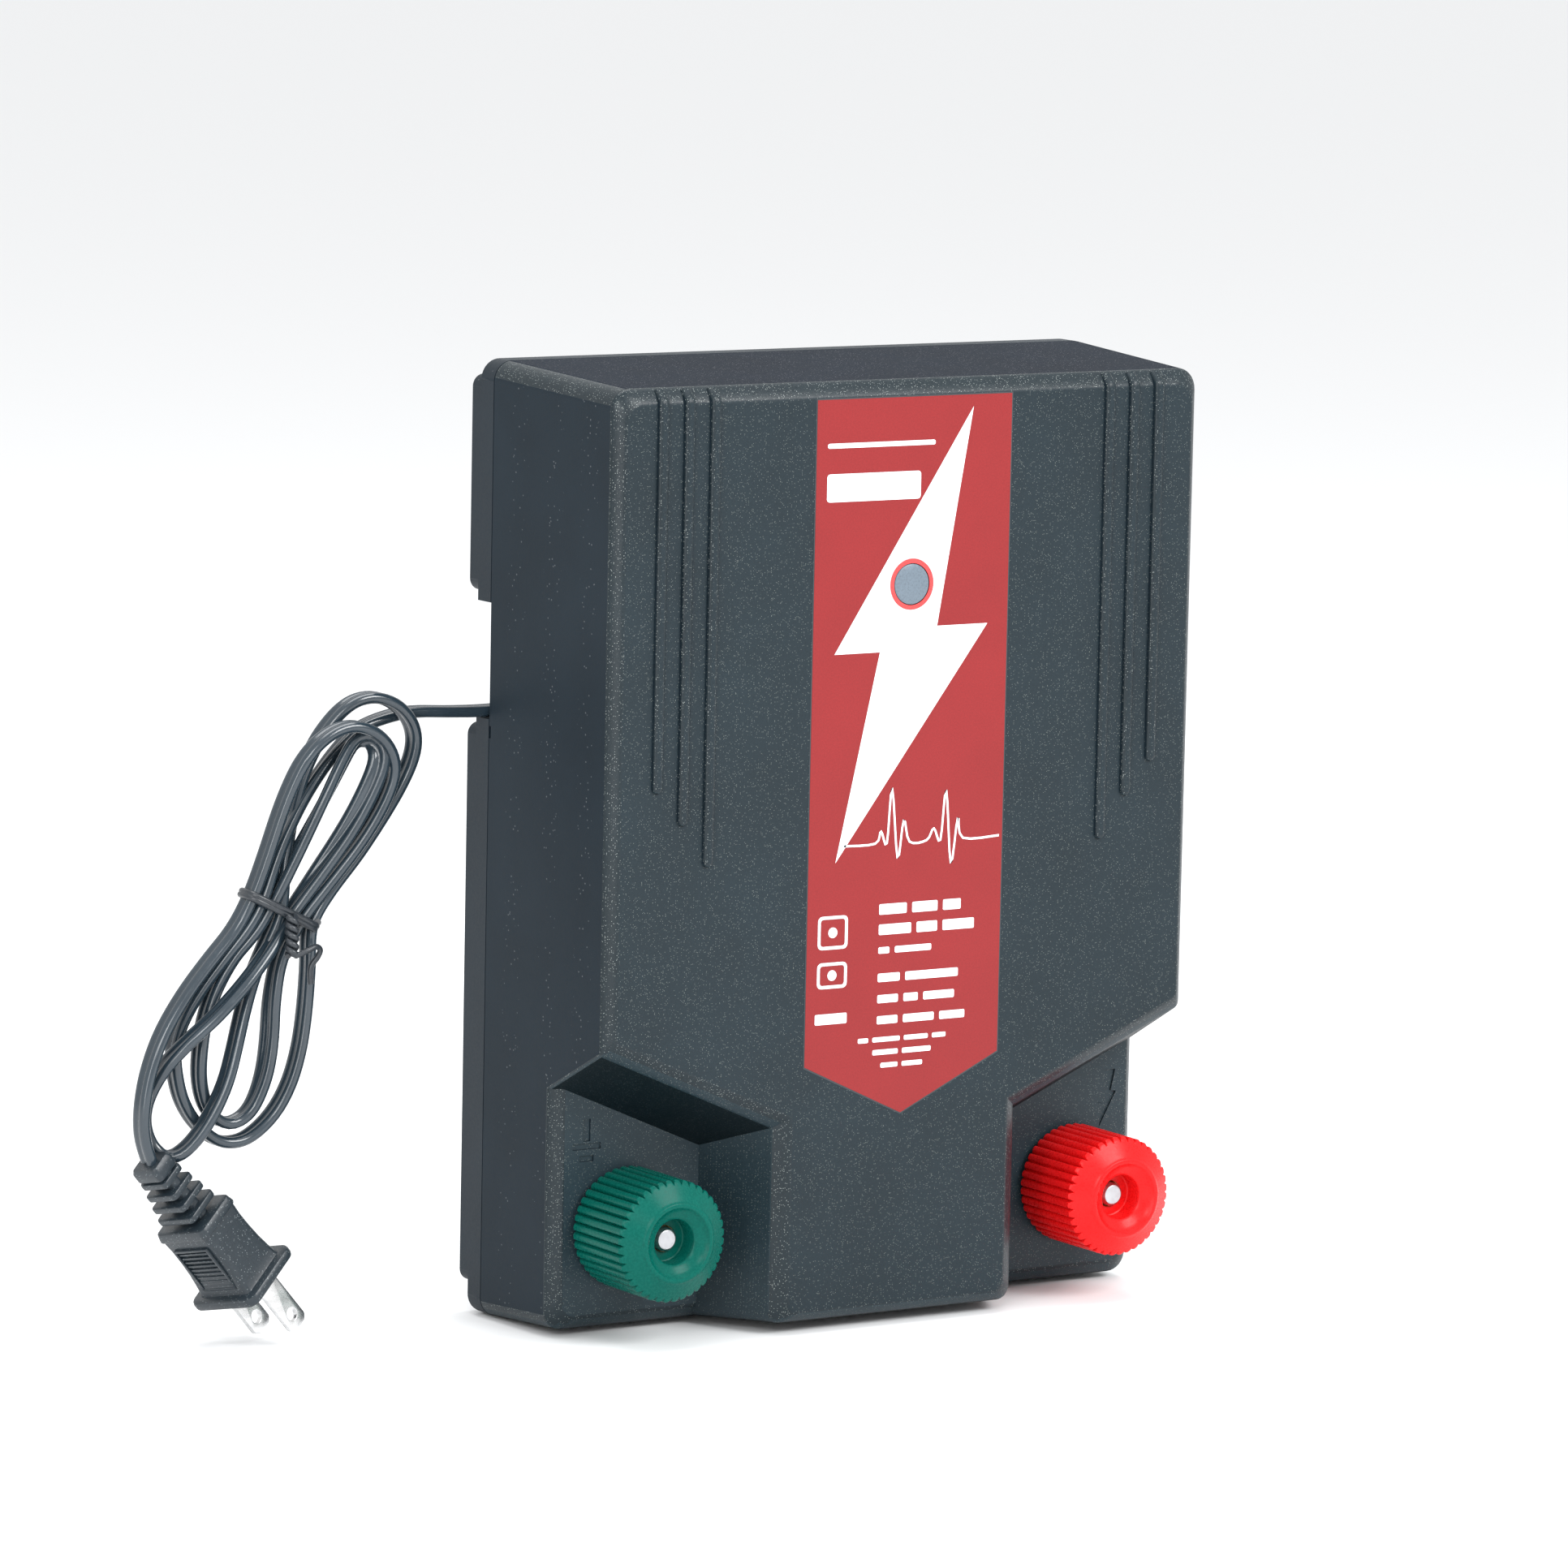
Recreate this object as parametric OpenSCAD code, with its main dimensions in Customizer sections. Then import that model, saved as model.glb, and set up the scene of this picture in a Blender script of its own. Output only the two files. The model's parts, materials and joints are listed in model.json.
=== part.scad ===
// Mains fence energizer: a tall drafted plastic case with a raised front block,
// two knurled terminal knobs in the foot recesses and a hanked flat twin mains lead.
// Frame: +Z up, front towards -Y, origin under the middle of the case.

/* [Case] */
// Width of the case at the parting plane
case_width = 174; // [170:1:180]
// Height of the case at the parting plane
case_height = 235; // [232:1:240]
// Depth of the front half, parting plane to front face
case_depth = 53; // [52:1:56]
// Radius of the four long corners
corner_radius = 5; // [4:0.5:8]
// Draft of the four sides, in degrees
draft_angle = 3; // [2:0.5:4]
// Wall thickness of both shells
wall = 2.5; // [2:0.1:3]
// Depth of the foot, parting plane to the recess surface
foot_depth = 31; // [29:1:32]
// Thickness of the back cover behind the parting plane
cover_depth = 6; // [5:0.5:7]
// Height of the raised pads on the back cover
pad_height = 4; // [3:0.5:5]

/* [Front block] */
// Half width of the tongue at the front face
tongue_half = 34; // [30:1:36]
// Half width of the tongue at the recess surface
tongue_root_half = 44; // [42:1:45]
// Height of the block's lower edge at the middle of the front face
block_edge_z = 37.4; // [36:0.1:39]
// Chamfer along the side edges of the front face
side_chamfer = 2.2; // [1.5:0.1:3]
// Chamfer along the top edge of the front face
top_chamfer = 3.1; // [2.5:0.1:4]
// Width of one raised rib
rib_width = 2.8; // [2:0.1:3]
// Height of one raised rib
rib_height = 0.9; // [0.5:0.1:1.2]

/* [Label and indicator] */
// Half width of the label panel
label_half = 28.1; // [26:0.1:30]
// Thickness of the label panel
label_thick = 0.5; // [0.4:0.1:0.8]
// Height of the indicator's centre
indicator_z = 182.6; // [178:0.1:188]
// Diameter of the indicator window
window_d = 10; // [8:0.5:11]

/* [Terminals] */
// Distance of each terminal from the middle of the case
knob_x = 65.3; // [64:0.1:66]
// Height of the terminals
knob_z = 26.4; // [25:0.1:28]
// Outside diameter of the knobs
knob_d = 30; // [26:1:32]
// Length of the knurled part of a knob
knob_length = 22; // [20:1:23]
// Number of teeth round a knob
knob_teeth = 40; // [30:1:48]
// Diameter of the threaded stud
stud_d = 5.9; // [5.8:0.1:5.9]

/* [Mains lead] */
// Width of the flat twin cord
cord_width = 5.6; // [5:0.1:6]
// Thickness of the flat twin cord
cord_thick = 2.8; // [2.4:0.1:3]
// Lean of the plug from upright, in degrees
plug_lean = 40; // [35:1:45]
// Turn of the plug about its own axis, in degrees
plug_turn = 18; // [10:1:20]

/* [Hidden] */

skin = 0.02;              // thickness of the slices that are blended into a drafted block
knob_crown = 3.1;         // conical front of a knob beyond its teeth
whole_depth = case_depth + 4 + cover_depth + pad_height;
parting_y = whole_depth / 2 - cover_depth - pad_height;
draft = tan(draft_angle);
block_slope = tan(23.5);  // slope of the block's lower edge seen from the front
edge_rise = 12 / 22;      // how fast that edge rises towards the front face
tongue_flare = (tongue_root_half - tongue_half) / (case_depth - foot_depth);
screw_spots = [[77, 14], [77, 139], [77, 222]];
board_spots = [[58, 92], [58, 214]];
board_depth = 36;         // depth of the back face of the circuit board
board_thick = 1.6;
standoff_end = board_depth + board_thick;
washer_thick = 0.9;
ring_thick = 0.8;
thread_bore_r = 3.02;     // plain bore that stands for an M6 thread
pilot_r = 1.5;
screw_r = 1.45;
case_color = "#46505a";
cover_color = "#3a434c";
cord_color = "#333b44";

// Channel in the back cover that the lead leaves through
channel_z0 = 147.8;
channel_z1 = 176.3;
channel_end = 45;
gland_z = 150.4;
gland_y = parting_y + 3.6;
gland_tip = 67;
gland_seat = 4.6;         // thickness of the wall that the gland grips

// Route of the mains lead: round points along its middle line
lead_route = [[-67, 27.1, 150.4], [-75, 27.2, 150.6], [-87, 27.8, 151], [-98, 28.5, 151.2],
    [-110, 29, 150]];
tail_route = [[-181, 22.5, 61], [-183, 22, 55], [-182, 21.4, 50], [-180.4, 21, 46.9]];
plug_at = [-154, 21, 15.4];
plug_length = 41;
hank_top = [-121, 140];
hank_waist = [-144.5, 105];
hank_left = [-168.5, 62];
hank_right = [-152.5, 62];
hank_side = [-148, 85];

function half_width(d) = case_width / 2 - d * draft;
function top_edge(d) = case_height - d * draft;
function bottom_edge(d) = d * draft;
function block_base(d) = block_edge_z - (case_depth - d) * edge_rise;
function tongue_at(d) = tongue_half + (case_depth - d) * tongue_flare;
function unit(v) = v / norm(v);
function blend(a, b, c, d, t) = 0.5 * (2 * b + (c - a) * t
    + (2 * a - 5 * b + 4 * c - d) * t * t + (3 * b - a - 3 * c + d) * t * t * t);
function clamp_point(p, i) = p[max(0, min(len(p) - 1, i))];
function smooth_route(p, per) = concat([for (i = [0:len(p) - 2]) for (k = [0:per - 1])
    blend(clamp_point(p, i - 1), p[i], p[i + 1], clamp_point(p, i + 2), k / per)],
    [p[len(p) - 1]]);
function heading(p, i) = unit(clamp_point(p, i + 1) - clamp_point(p, i - 1));
function across(t, ref) = unit(ref - (ref * t) * t);

// Places 2D children upright at depth d in front of the parting plane
module at_depth(d, thick = skin) {
    translate([0, parting_y - d + thick, 0])
        rotate([90, 0, 0])
            linear_extrude(thick)
                children();
}

// Round rod along Y, from depth d0 to the greater depth d1
module rod(x, z, r, d0, d1, sides = 48) {
    translate([x, parting_y - d0, z])
        rotate([90, 0, 0])
            cylinder(r = r, h = d1 - d0, $fn = sides);
}

module corner_discs(hw, z0, z1, r) {
    for (x = [r - hw, hw - r])
        for (z = [z0 + r, z1 - r])
            translate([x, z])
                circle(r = r, $fn = 32);
}

module outline(hw, z0, z1, r) {
    union() {
        corner_discs(hw, z0, z1, r);
        translate([-hw, z0 + r])
            square([2 * hw, z1 - z0 - 2 * r]);
        translate([r - hw, z0])
            square([2 * (hw - r), z1 - z0]);
    }
}

// One slice of the full drafted outline, set in by t
module full_slice(d, t, c = 0, ct = 0) {
    at_depth(d)
        corner_discs(half_width(d) - t - c, bottom_edge(d) + t + c, top_edge(d) - t - ct,
            corner_radius - t / 2);
}

// One slice of the raised block
module block_slice(d, t, c = 0, ct = 0) {
    hw = half_width(d) - t - c;
    lift = block_base(d) + (t + c) * 1.25;
    xt = tongue_at(d) - t;
    r = corner_radius - t / 2;
    at_depth(d) {
        for (s = [-1, 1]) {
            translate([s * (hw - r), top_edge(d) - t - ct - r])
                circle(r = r, $fn = 32);
            translate([s * (hw - 1.5), lift + block_slope * (hw - 1.5) + 1.64])
                circle(r = 1.5, $fn = 16);
            translate([s * xt, lift + block_slope * xt + 0.55])
                circle(r = 0.5, $fn = 16);
        }
    }
}

// One slice of the tongue between the two recesses
module tongue_slice(d, t, c = 0) {
    at_depth(d)
        corner_discs(tongue_at(d) - t - c, bottom_edge(d) + t + c, 62 - t, 3.5 - t / 2);
}

// The drafted case form, set in by t, starting at depth d0
module case_form(t, d0, chamfer) {
    c = chamfer ? side_chamfer : 0;
    ct = chamfer ? top_chamfer : 0;
    front = case_depth - t;
    hull() {
        full_slice(d0 + skin, t);
        full_slice(foot_depth - t - c, t);
        full_slice(foot_depth - t, t, c, c);
    }
    hull() {
        block_slice(20, t);
        block_slice(front - ct, t);
        block_slice(front - c, t, 0, ct - c);
        block_slice(front, t, c, ct);
    }
    hull() {
        tongue_slice(20, t);
        tongue_slice(front - c, t);
        tongue_slice(front, t, c);
    }
}

module label_outline(grow) {
    h = label_half + grow;
    polygon([[-h, 229 + grow], [h, 229 + grow], [h, 65.9 - grow], [0, 52.7 - 1.2 * grow],
        [-h, 65.9 - grow]]);
}

module rib(x, z0) {
    at_depth(case_depth + rib_height, rib_height + 0.1) {
        translate([x, z0 + rib_width / 2])
            circle(d = rib_width, $fn = 32);
        translate([x - rib_width / 2, z0 + rib_width / 2])
            square([rib_width, 229 - z0 - rib_width / 2]);
    }
}

module earth_sign() {
    translate([-77, 48])
        square([2, 5.5]);
    translate([-80, 46])
        square([8, 1.5]);
    translate([-78, 43])
        square([4, 1.5]);
}

module spark_sign() {
    polygon([[75.9, 54], [79.2, 54], [78, 48.6], [79.6, 48.4], [74.6, 39.4], [75.6, 45.4],
        [74.1, 45.6]]);
}

module front_housing() {
    color(case_color)
        difference() {
            union() {
                difference() {
                    case_form(0, 0, true);
                    case_form(wall, -1, false);
                }
                for (s = [-1, 1]) {
                    for (i = [0:2])
                        rib(s * (57 + 7.3 * i), [116.8, 127.2, 135.4][i]);
                    rod(s * screw_spots[0][0], screw_spots[0][1], 4, 0.3, foot_depth - 1);
                    rod(s * screw_spots[1][0], screw_spots[1][1], 4, 0.3, case_depth - 1);
                    rod(s * screw_spots[2][0], screw_spots[2][1], 4, 0.3, case_depth - 1);
                    for (p = board_spots)
                        rod(s * p[0], p[1], 3.5, standoff_end, case_depth - 1);
                }
            }
            for (s = [-1, 1]) {
                for (p = screw_spots)
                    rod(s * p[0], p[1], pilot_r, -1, 16);
                for (p = board_spots)
                    rod(s * p[0], p[1], pilot_r, standoff_end - 1, 47);
                rod(s * knob_x, knob_z, stud_d / 2 + 0.05, foot_depth - wall - 1, foot_depth + 1);
            }
            rod(0, indicator_z, window_d / 2 + 0.1, case_depth - wall - 1, case_depth + 1);
            at_depth(case_depth + 1, 1.4)
                label_outline(0.4);
            at_depth(foot_depth + 1, 1.4) {
                earth_sign();
                spark_sign();
            }
            translate([-case_width / 2 - 1, parting_y, 144.7])
                rotate([0, 90, 0])
                    cylinder(r = 1.5, h = 2.6, $fn = 32);
        }
}

// Keyhole cut: round entry with a narrow slot above it
module keyhole(x, z) {
    rod(x, z, 4.6, -cover_depth - pad_height - 1, -7);
    rod(x, z + 10, 2.3, -cover_depth - pad_height - 1, -7);
    translate([x - 2.3, parting_y + 7, z])
        cube([4.6, 4, 10]);
}

module pad_block(x0, x1, z0, z1, grow, d0, d1) {
    at_depth(d1, d1 - d0)
        translate([(x0 + x1) / 2, 0])
            outline((x1 - x0) / 2 - grow, z0 + grow, z1 - grow, 3 - grow / 2);
}

module back_pads(grow, d0, d1) {
    w = case_width / 2;
    pad_block(-w, w, 178.3, 231, grow, d0, d1);
    pad_block(-w, w, 7.5, 146, grow, d0, d1);
    pad_block(-channel_end, channel_end, 120, 200, grow, d0, d1);
}

module back_cover() {
    w = case_width / 2;
    back = -cover_depth - pad_height;
    lip = wall + 0.5;
    color(cover_color)
        difference() {
            union() {
                difference() {
                    union() {
                        at_depth(0, cover_depth)
                            outline(w, 0, case_height, corner_radius);
                        back_pads(0, back, -cover_depth + 1);
                        at_depth(3, 3.1)
                            outline(w - lip, lip, case_height - lip, corner_radius - 2);
                    }
                    at_depth(4, cover_depth + 4 - wall)
                        outline(w - lip - 1.5, lip + 1.5, case_height - lip - 1.5,
                            corner_radius - 3);
                    back_pads(wall + 2, back + wall, 0);
                    translate([-w - 1, parting_y - 5, channel_z0 - wall])
                        cube([w - channel_end + 1, 5 + cover_depth, channel_z1 - channel_z0
                            + 2 * wall]);
                    translate([-w - 1, parting_y - 1, channel_z0])
                        cube([w - channel_end + 1, 20, channel_z1 - channel_z0]);
                }
                translate([-w, parting_y, channel_z0 - wall])
                    cube([w - channel_end + wall, cover_depth, wall]);
                translate([-w, parting_y, channel_z1])
                    cube([w - channel_end + wall, cover_depth, wall]);
                translate([-w + 3, parting_y - 2.5, channel_z0 - wall])
                    cube([w - 3 - channel_end + wall, 2.5, channel_z1 - channel_z0 + 2 * wall]);
                translate([-channel_end, parting_y - 2.5, channel_z0 - wall])
                    cube([wall, 12.5, channel_z1 - channel_z0 + 2 * wall]);
                for (s = [-1, 1]) {
                    for (p = screw_spots)
                        rod(s * p[0], p[1], 4.5, -cover_depth - pad_height + 1, 0);
                    translate([s * 48 - 9, parting_y + 1, 190])
                        cube([18, cover_depth + pad_height - 2, 27]);
                }
            }
            for (s = [-1, 1]) {
                for (p = screw_spots) {
                    rod(s * p[0], p[1], 1.6, -12, 1);
                    rod(s * p[0], p[1], 3.3, -12, -6);
                }
                keyhole(s * 48, 198);
                translate([s * 48 - 7.5, parting_y + 2.5, 191.5])
                    cube([15, 5, 24]);
            }
            translate([-channel_end - 1, gland_y - 3.2, gland_z - 2.2])
                cube([gland_seat + 2, 6.4, 4.4]);
        }
}

module label_panel() {
    color("#c0504e")
        difference() {
            at_depth(case_depth + 0.1, label_thick)
                label_outline(0);
            rod(0, indicator_z, window_d / 2 + 0.1, case_depth - 1, case_depth + 1);
        }
}

module indicator_lens() {
    r = window_d / 2;
    color("#8897a4") {
        rod(0, indicator_z, r, case_depth - wall, case_depth + 0.3);
        rod(0, indicator_z, r + 1.8, case_depth - wall - 1.6, case_depth - wall);
    }
}

module indicator_led() {
    color("#c8d0d8") {
        rod(0, indicator_z, 2.9, standoff_end, standoff_end + 1);
        rod(0, indicator_z, 2.5, standoff_end, standoff_end + 6.1);
        translate([0, parting_y - standoff_end - 6.1, indicator_z])
            sphere(r = 2.5, $fn = 32);
    }
}

module stud(x) {
    color("#b9bcc0") {
        rod(x, knob_z, stud_d / 2, foot_depth - wall - ring_thick - 2, case_depth - 2);
        rod(x, knob_z, stud_d / 2 - 0.3, case_depth - 2.1, case_depth - 1.5);
        rod(x, knob_z, 5.5, foot_depth - wall - ring_thick - 4, foot_depth - wall - ring_thick, 6);
    }
}

module earth_stud() {
    stud(-knob_x);
}

module fence_stud() {
    stud(knob_x);
}

module washer(x) {
    color("#c9ccd0")
        difference() {
            rod(x, knob_z, 8, foot_depth, foot_depth + washer_thick);
            rod(x, knob_z, thread_bore_r, foot_depth - 1, foot_depth + washer_thick + 1);
        }
}

module earth_washer() {
    washer(-knob_x);
}

module fence_washer() {
    washer(knob_x);
}

// Knurled knob: toothed skirt, conical crown with a rounded ring, deep bore
module knob(x, tint) {
    r = knob_d / 2;
    back = foot_depth + washer_thick;
    step = 360 / knob_teeth;
    color(tint)
        translate([x, parting_y - back, knob_z])
            rotate([90, 0, 0])
                difference() {
                    union() {
                        linear_extrude(knob_length)
                            polygon([for (i = [0:knob_teeth - 1]) for (k = [0, 1])
                                (r - k) * [cos((i + k / 2) * step), sin((i + k / 2) * step)]]);
                        rotate_extrude($fn = 96)
                            polygon([[0, 2], [r - 2, 2], [r - 2, knob_length], [9.9, 24.8],
                                [9.5, knob_length + knob_crown],
                                [8.8, knob_length + knob_crown], [8.35, 24.8], [5, 23],
                                [0, 23]]);
                    }
                    translate([0, 0, -1])
                        cylinder(r = 3.4, h = 4, $fn = 48);
                    translate([0, 0, 1])
                        cylinder(r = 5.5, h = 30, $fn = 48);
                }
}

module earth_knob() {
    knob(-knob_x, "#19917f");
}

module fence_knob() {
    knob(knob_x, "#fe4a4c");
}

module knob_insert(x) {
    color("#b89a55")
        difference() {
            rod(x, knob_z, 5.5, foot_depth + washer_thick + 1, 49.5);
            rod(x, knob_z, thread_bore_r, foot_depth, 51);
        }
}

module earth_knob_insert() {
    knob_insert(-knob_x);
}

module fence_knob_insert() {
    knob_insert(knob_x);
}

// Crimped ring terminals under the heads of the studs
module ring_terminals() {
    d1 = foot_depth - wall;
    d0 = d1 - ring_thick;
    color("#c9ccd0")
        for (s = [-1, 1])
            difference() {
                union() {
                    rod(s * knob_x, knob_z, 6, d0, d1);
                    translate([s * knob_x - 2, parting_y - d1, knob_z])
                        cube([4, ring_thick, 12]);
                    rod(s * knob_x, knob_z + 13, 2, d0 - 3, d1);
                }
                rod(s * knob_x, knob_z, stud_d / 2 + 0.05, d0 - 1, d1 + 1);
            }
}

// Flat or round cord swept along a route with its width along ref
module swept_cord(points, w, t, ref, per) {
    path = smooth_route(points, per);
    n = len(path);
    sides = 8;
    verts = [for (i = [0:n - 1]) let (d = heading(path, i), e = across(d, ref), f = cross(d, e))
        for (s = [0:sides - 1]) path[i] + e * (w / 2 * cos(360 / sides * (s + 0.5)))
            + f * (t / 2 * sin(360 / sides * (s + 0.5)))];
    walls = [for (i = [0:n - 2]) for (s = [0:sides - 1]) [i * sides + s, (i + 1) * sides + s,
        (i + 1) * sides + (s + 1) % sides, i * sides + (s + 1) % sides]];
    cap0 = [[for (s = [0:sides - 1]) s]];
    cap1 = [[for (s = [0:sides - 1]) n * sides - 1 - s]];
    polyhedron(points = verts, faces = concat(cap0, walls, cap1));
}

module output_leads() {
    d0 = parting_y - foot_depth + wall + ring_thick + 3;
    color("#8a3036")
        for (s = [-1, 1])
            swept_cord([[s * knob_x, d0 + 0.5, knob_z + 13], [s * knob_x, d0 + 6, knob_z + 17],
                [s * 58, 15, 60], [s * 30 - 15, 20, 76], [s * 6 - 34, 22, 88],
                [s * 6 - 34, 22, 98.8]], 2.6, 2.6, [0.3, 0, 0.1], 3);
}

module circuit_board() {
    color("#2f6b4a")
        difference() {
            at_depth(standoff_end, board_thick)
                translate([-66, 84])
                    square([132, 138]);
            for (s = [-1, 1])
                for (p = board_spots)
                    rod(s * p[0], p[1], 1.6, board_depth - 1, standoff_end + 1);
        }
}

module board_screws() {
    color("#c9ccd0")
        for (s = [-1, 1])
            for (p = board_spots) {
                rod(s * p[0], p[1], 2.8, board_depth - 2, board_depth);
                rod(s * p[0], p[1], screw_r, board_depth - 1, 45);
            }
}

module cover_screws() {
    color("#b9bcc0")
        for (s = [-1, 1])
            for (p = screw_spots)
                difference() {
                    union() {
                        rod(s * p[0], p[1], 3, -8.2, -6);
                        rod(s * p[0], p[1], screw_r, -7, 14);
                    }
                    translate([s * p[0] - 0.5, parting_y + 7.2, p[1] - 2])
                        cube([1, 2, 4]);
                    translate([s * p[0] - 2, parting_y + 7.2, p[1] - 0.5])
                        cube([4, 2, 1]);
                }
}

module storage_capacitor() {
    r = 17.5;
    color("#2a3550")
        translate([38, parting_y - board_depth + r, 96])
            cylinder(r = r, h = 50, $fn = 96);
}

module doubler_capacitors() {
    r = 8;
    color("#20242c")
        for (z = [178, 200])
            translate([18, parting_y - board_depth + r, z])
                rotate([0, 90, 0])
                    cylinder(r = r, h = 34, $fn = 64);
}

module transformer_core() {
    color("#6a6d72")
        translate([-34, parting_y - 16, 112])
            difference() {
                cube([52, 22, 44], center = true);
                for (s = [-1, 1])
                    translate([s * 13.5, 0, 0])
                        cube([11, 24, 26], center = true);
            }
}

module transformer_winding() {
    color("#7a4a26")
        translate([-34, parting_y - 16, 112])
            difference() {
                cube([36, 40, 25.4], center = true);
                cube([16, 22, 30], center = true);
            }
}

module heat_sink() {
    color("#b8bcc0") {
        translate([-60, parting_y - board_depth, 172])
            cube([34, 22, 2.5]);
        for (i = [0:5])
            translate([-60 + i * 6.4, parting_y - board_depth, 174])
                cube([2, 22, 14]);
    }
}

module thyristor() {
    color("#1c1e22")
        translate([-48, parting_y - board_depth, 167.5])
            cube([10, 16, 4.5]);
}

module fuse() {
    color("#d8e0e4")
        translate([-58, parting_y - board_depth + 5, 203])
            rotate([0, 90, 0])
                cylinder(r = 2.6, h = 20, $fn = 48);
}

module fuse_clips() {
    color("#c2a55c")
        for (x = [-57, -43])
            difference() {
                translate([x, parting_y - board_depth, 199.5])
                    cube([4, 6, 7]);
                translate([x - 1, parting_y - board_depth + 5, 203])
                    rotate([0, 90, 0])
                        cylinder(r = 2.6, h = 6, $fn = 48);
            }
}

module varistor() {
    color("#2b5d8c")
        translate([-20, parting_y - board_depth + 7, 205])
            rotate([0, 90, 0])
                cylinder(r = 7, h = 5, $fn = 64);
}

module mains_lead_inner() {
    y1 = parting_y - board_depth;
    color(cord_color)
        swept_cord([[-36.6, gland_y, gland_z], [-32, gland_y, gland_z], [-24, gland_y - 5, gland_z],
            [-21, gland_y - 14, gland_z + 1], [-21, y1 + 12, gland_z + 2], [-21, y1, gland_z + 2]],
            cord_width, cord_thick, [0.05, 1, 1], 2);
}

// Tapered strain relief that grips the lead in the end wall of the channel
module cord_gland() {
    color("#2b3138") {
        hull() {
            translate([-gland_tip, gland_y - 3.1, gland_z - 1.8])
                cube([skin, 6.2, 3.6]);
            translate([-channel_end - skin, gland_y - 3.4, gland_z - 2.5])
                cube([skin, 6.8, 5]);
        }
        translate([-channel_end - 1, gland_y - 3.1, gland_z - 2.1])
            cube([gland_seat + 2, 6.2, 4.2]);
        translate([-channel_end + gland_seat, gland_y - 3.5, gland_z - 3.2])
            cube([3.5, 7, 6.4]);
    }
}

module cord_lead() {
    color(cord_color)
        swept_cord(lead_route, cord_width, cord_thick, [0, 1, 0], 2);
}

module cord_hank() {
    color(cord_color)
        translate([0, 32, 0])
            rotate([90, 0, 0])
                linear_extrude(17)
                    union() {
                        hull() {
                            translate(hank_top)
                                circle(r = 15.5, $fn = 48);
                            translate(hank_waist)
                                circle(r = 11.5, $fn = 32);
                        }
                        hull() {
                            translate(hank_waist)
                                circle(r = 11.5, $fn = 32);
                            translate(hank_left)
                                circle(r = 15, $fn = 32);
                            translate(hank_right)
                                circle(r = 15, $fn = 32);
                            translate(hank_side)
                                circle(r = 11, $fn = 32);
                        }
                    }
}

// Twisted wire tie: a flat wire knot standing on the front of the hank
module cord_tie() {
    color("#1d2126") {
        translate([-141, 14, 92])
            cylinder(r = 1, h = 11, $fn = 24);
        translate([-154, 13.5, 104])
            rotate([0, 26.8, 0])
                cube([22, 1.5, 1.7]);
    }
}

module cord_tail() {
    color(cord_color)
        swept_cord(tail_route, cord_width, cord_thick, [0, 1, 0], 2);
}

// Places children in the plug's frame: blades point down its -Z
module in_plug() {
    translate(plug_at)
        rotate([0, -plug_lean, 0])
            rotate([0, 0, plug_turn])
                children();
}

module plug_block(x0, y0, z0, x1, y1, z1) {
    hull() {
        translate([-x0, -y0, z0])
            cube([2 * x0, 2 * y0, skin]);
        translate([-x1, -y1, z1 - skin])
            cube([2 * x1, 2 * y1, skin]);
    }
}

module plug_strain_relief() {
    color("#2b3138")
        in_plug()
            difference() {
                plug_block(5, 6.5, 23, 3.6, 4.6, plug_length);
                for (i = [0:3])
                    for (s = [-1, 1])
                        translate([s * 4.4 - 2.6, -8, 25.5 + 3.3 * i])
                            cube([5.2, 16, 1.5]);
            }
}

module plug_body() {
    color("#2b3138")
        in_plug() {
            translate([-9.6, -10, 0])
                cube([19.2, 20, 2.2]);
            plug_block(7, 8.6, 2, 6.4, 8.2, 20.5);
            plug_block(7, 8.8, 20.4, 6.6, 8.4, 23);
        }
}

module plug_blades() {
    color("#c8b06a")
        in_plug()
            for (s = [-1, 1])
                translate([0, s * 6.35, 0])
                    difference() {
                        translate([0, 0.75, 0])
                            rotate([90, 0, 0])
                                linear_extrude(1.5)
                                    polygon([[-3.175, 0], [-3.175, -14.2], [-1.8, -15.7],
                                        [1.8, -15.7], [3.175, -14.2], [3.175, 0]]);
                        translate([0, 1, -11.7])
                            rotate([90, 0, 0])
                                cylinder(d = 3.2, h = 2, $fn = 32);
                    }
}

front_housing();
back_cover();
label_panel();
indicator_lens();
indicator_led();
earth_stud();
fence_stud();
earth_washer();
fence_washer();
earth_knob();
fence_knob();
earth_knob_insert();
fence_knob_insert();
ring_terminals();
output_leads();
circuit_board();
board_screws();
cover_screws();
storage_capacitor();
doubler_capacitors();
transformer_core();
transformer_winding();
thyristor();
heat_sink();
fuse();
fuse_clips();
varistor();
mains_lead_inner();
cord_gland();
cord_lead();
cord_hank();
cord_tie();
cord_tail();
plug_strain_relief();
plug_body();
plug_blades();
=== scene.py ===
"""Fence energizer: the visible pieces, materials, light and camera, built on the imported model."""
import json
import math

import bmesh
import bpy
from mathutils import Matrix, Vector


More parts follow.
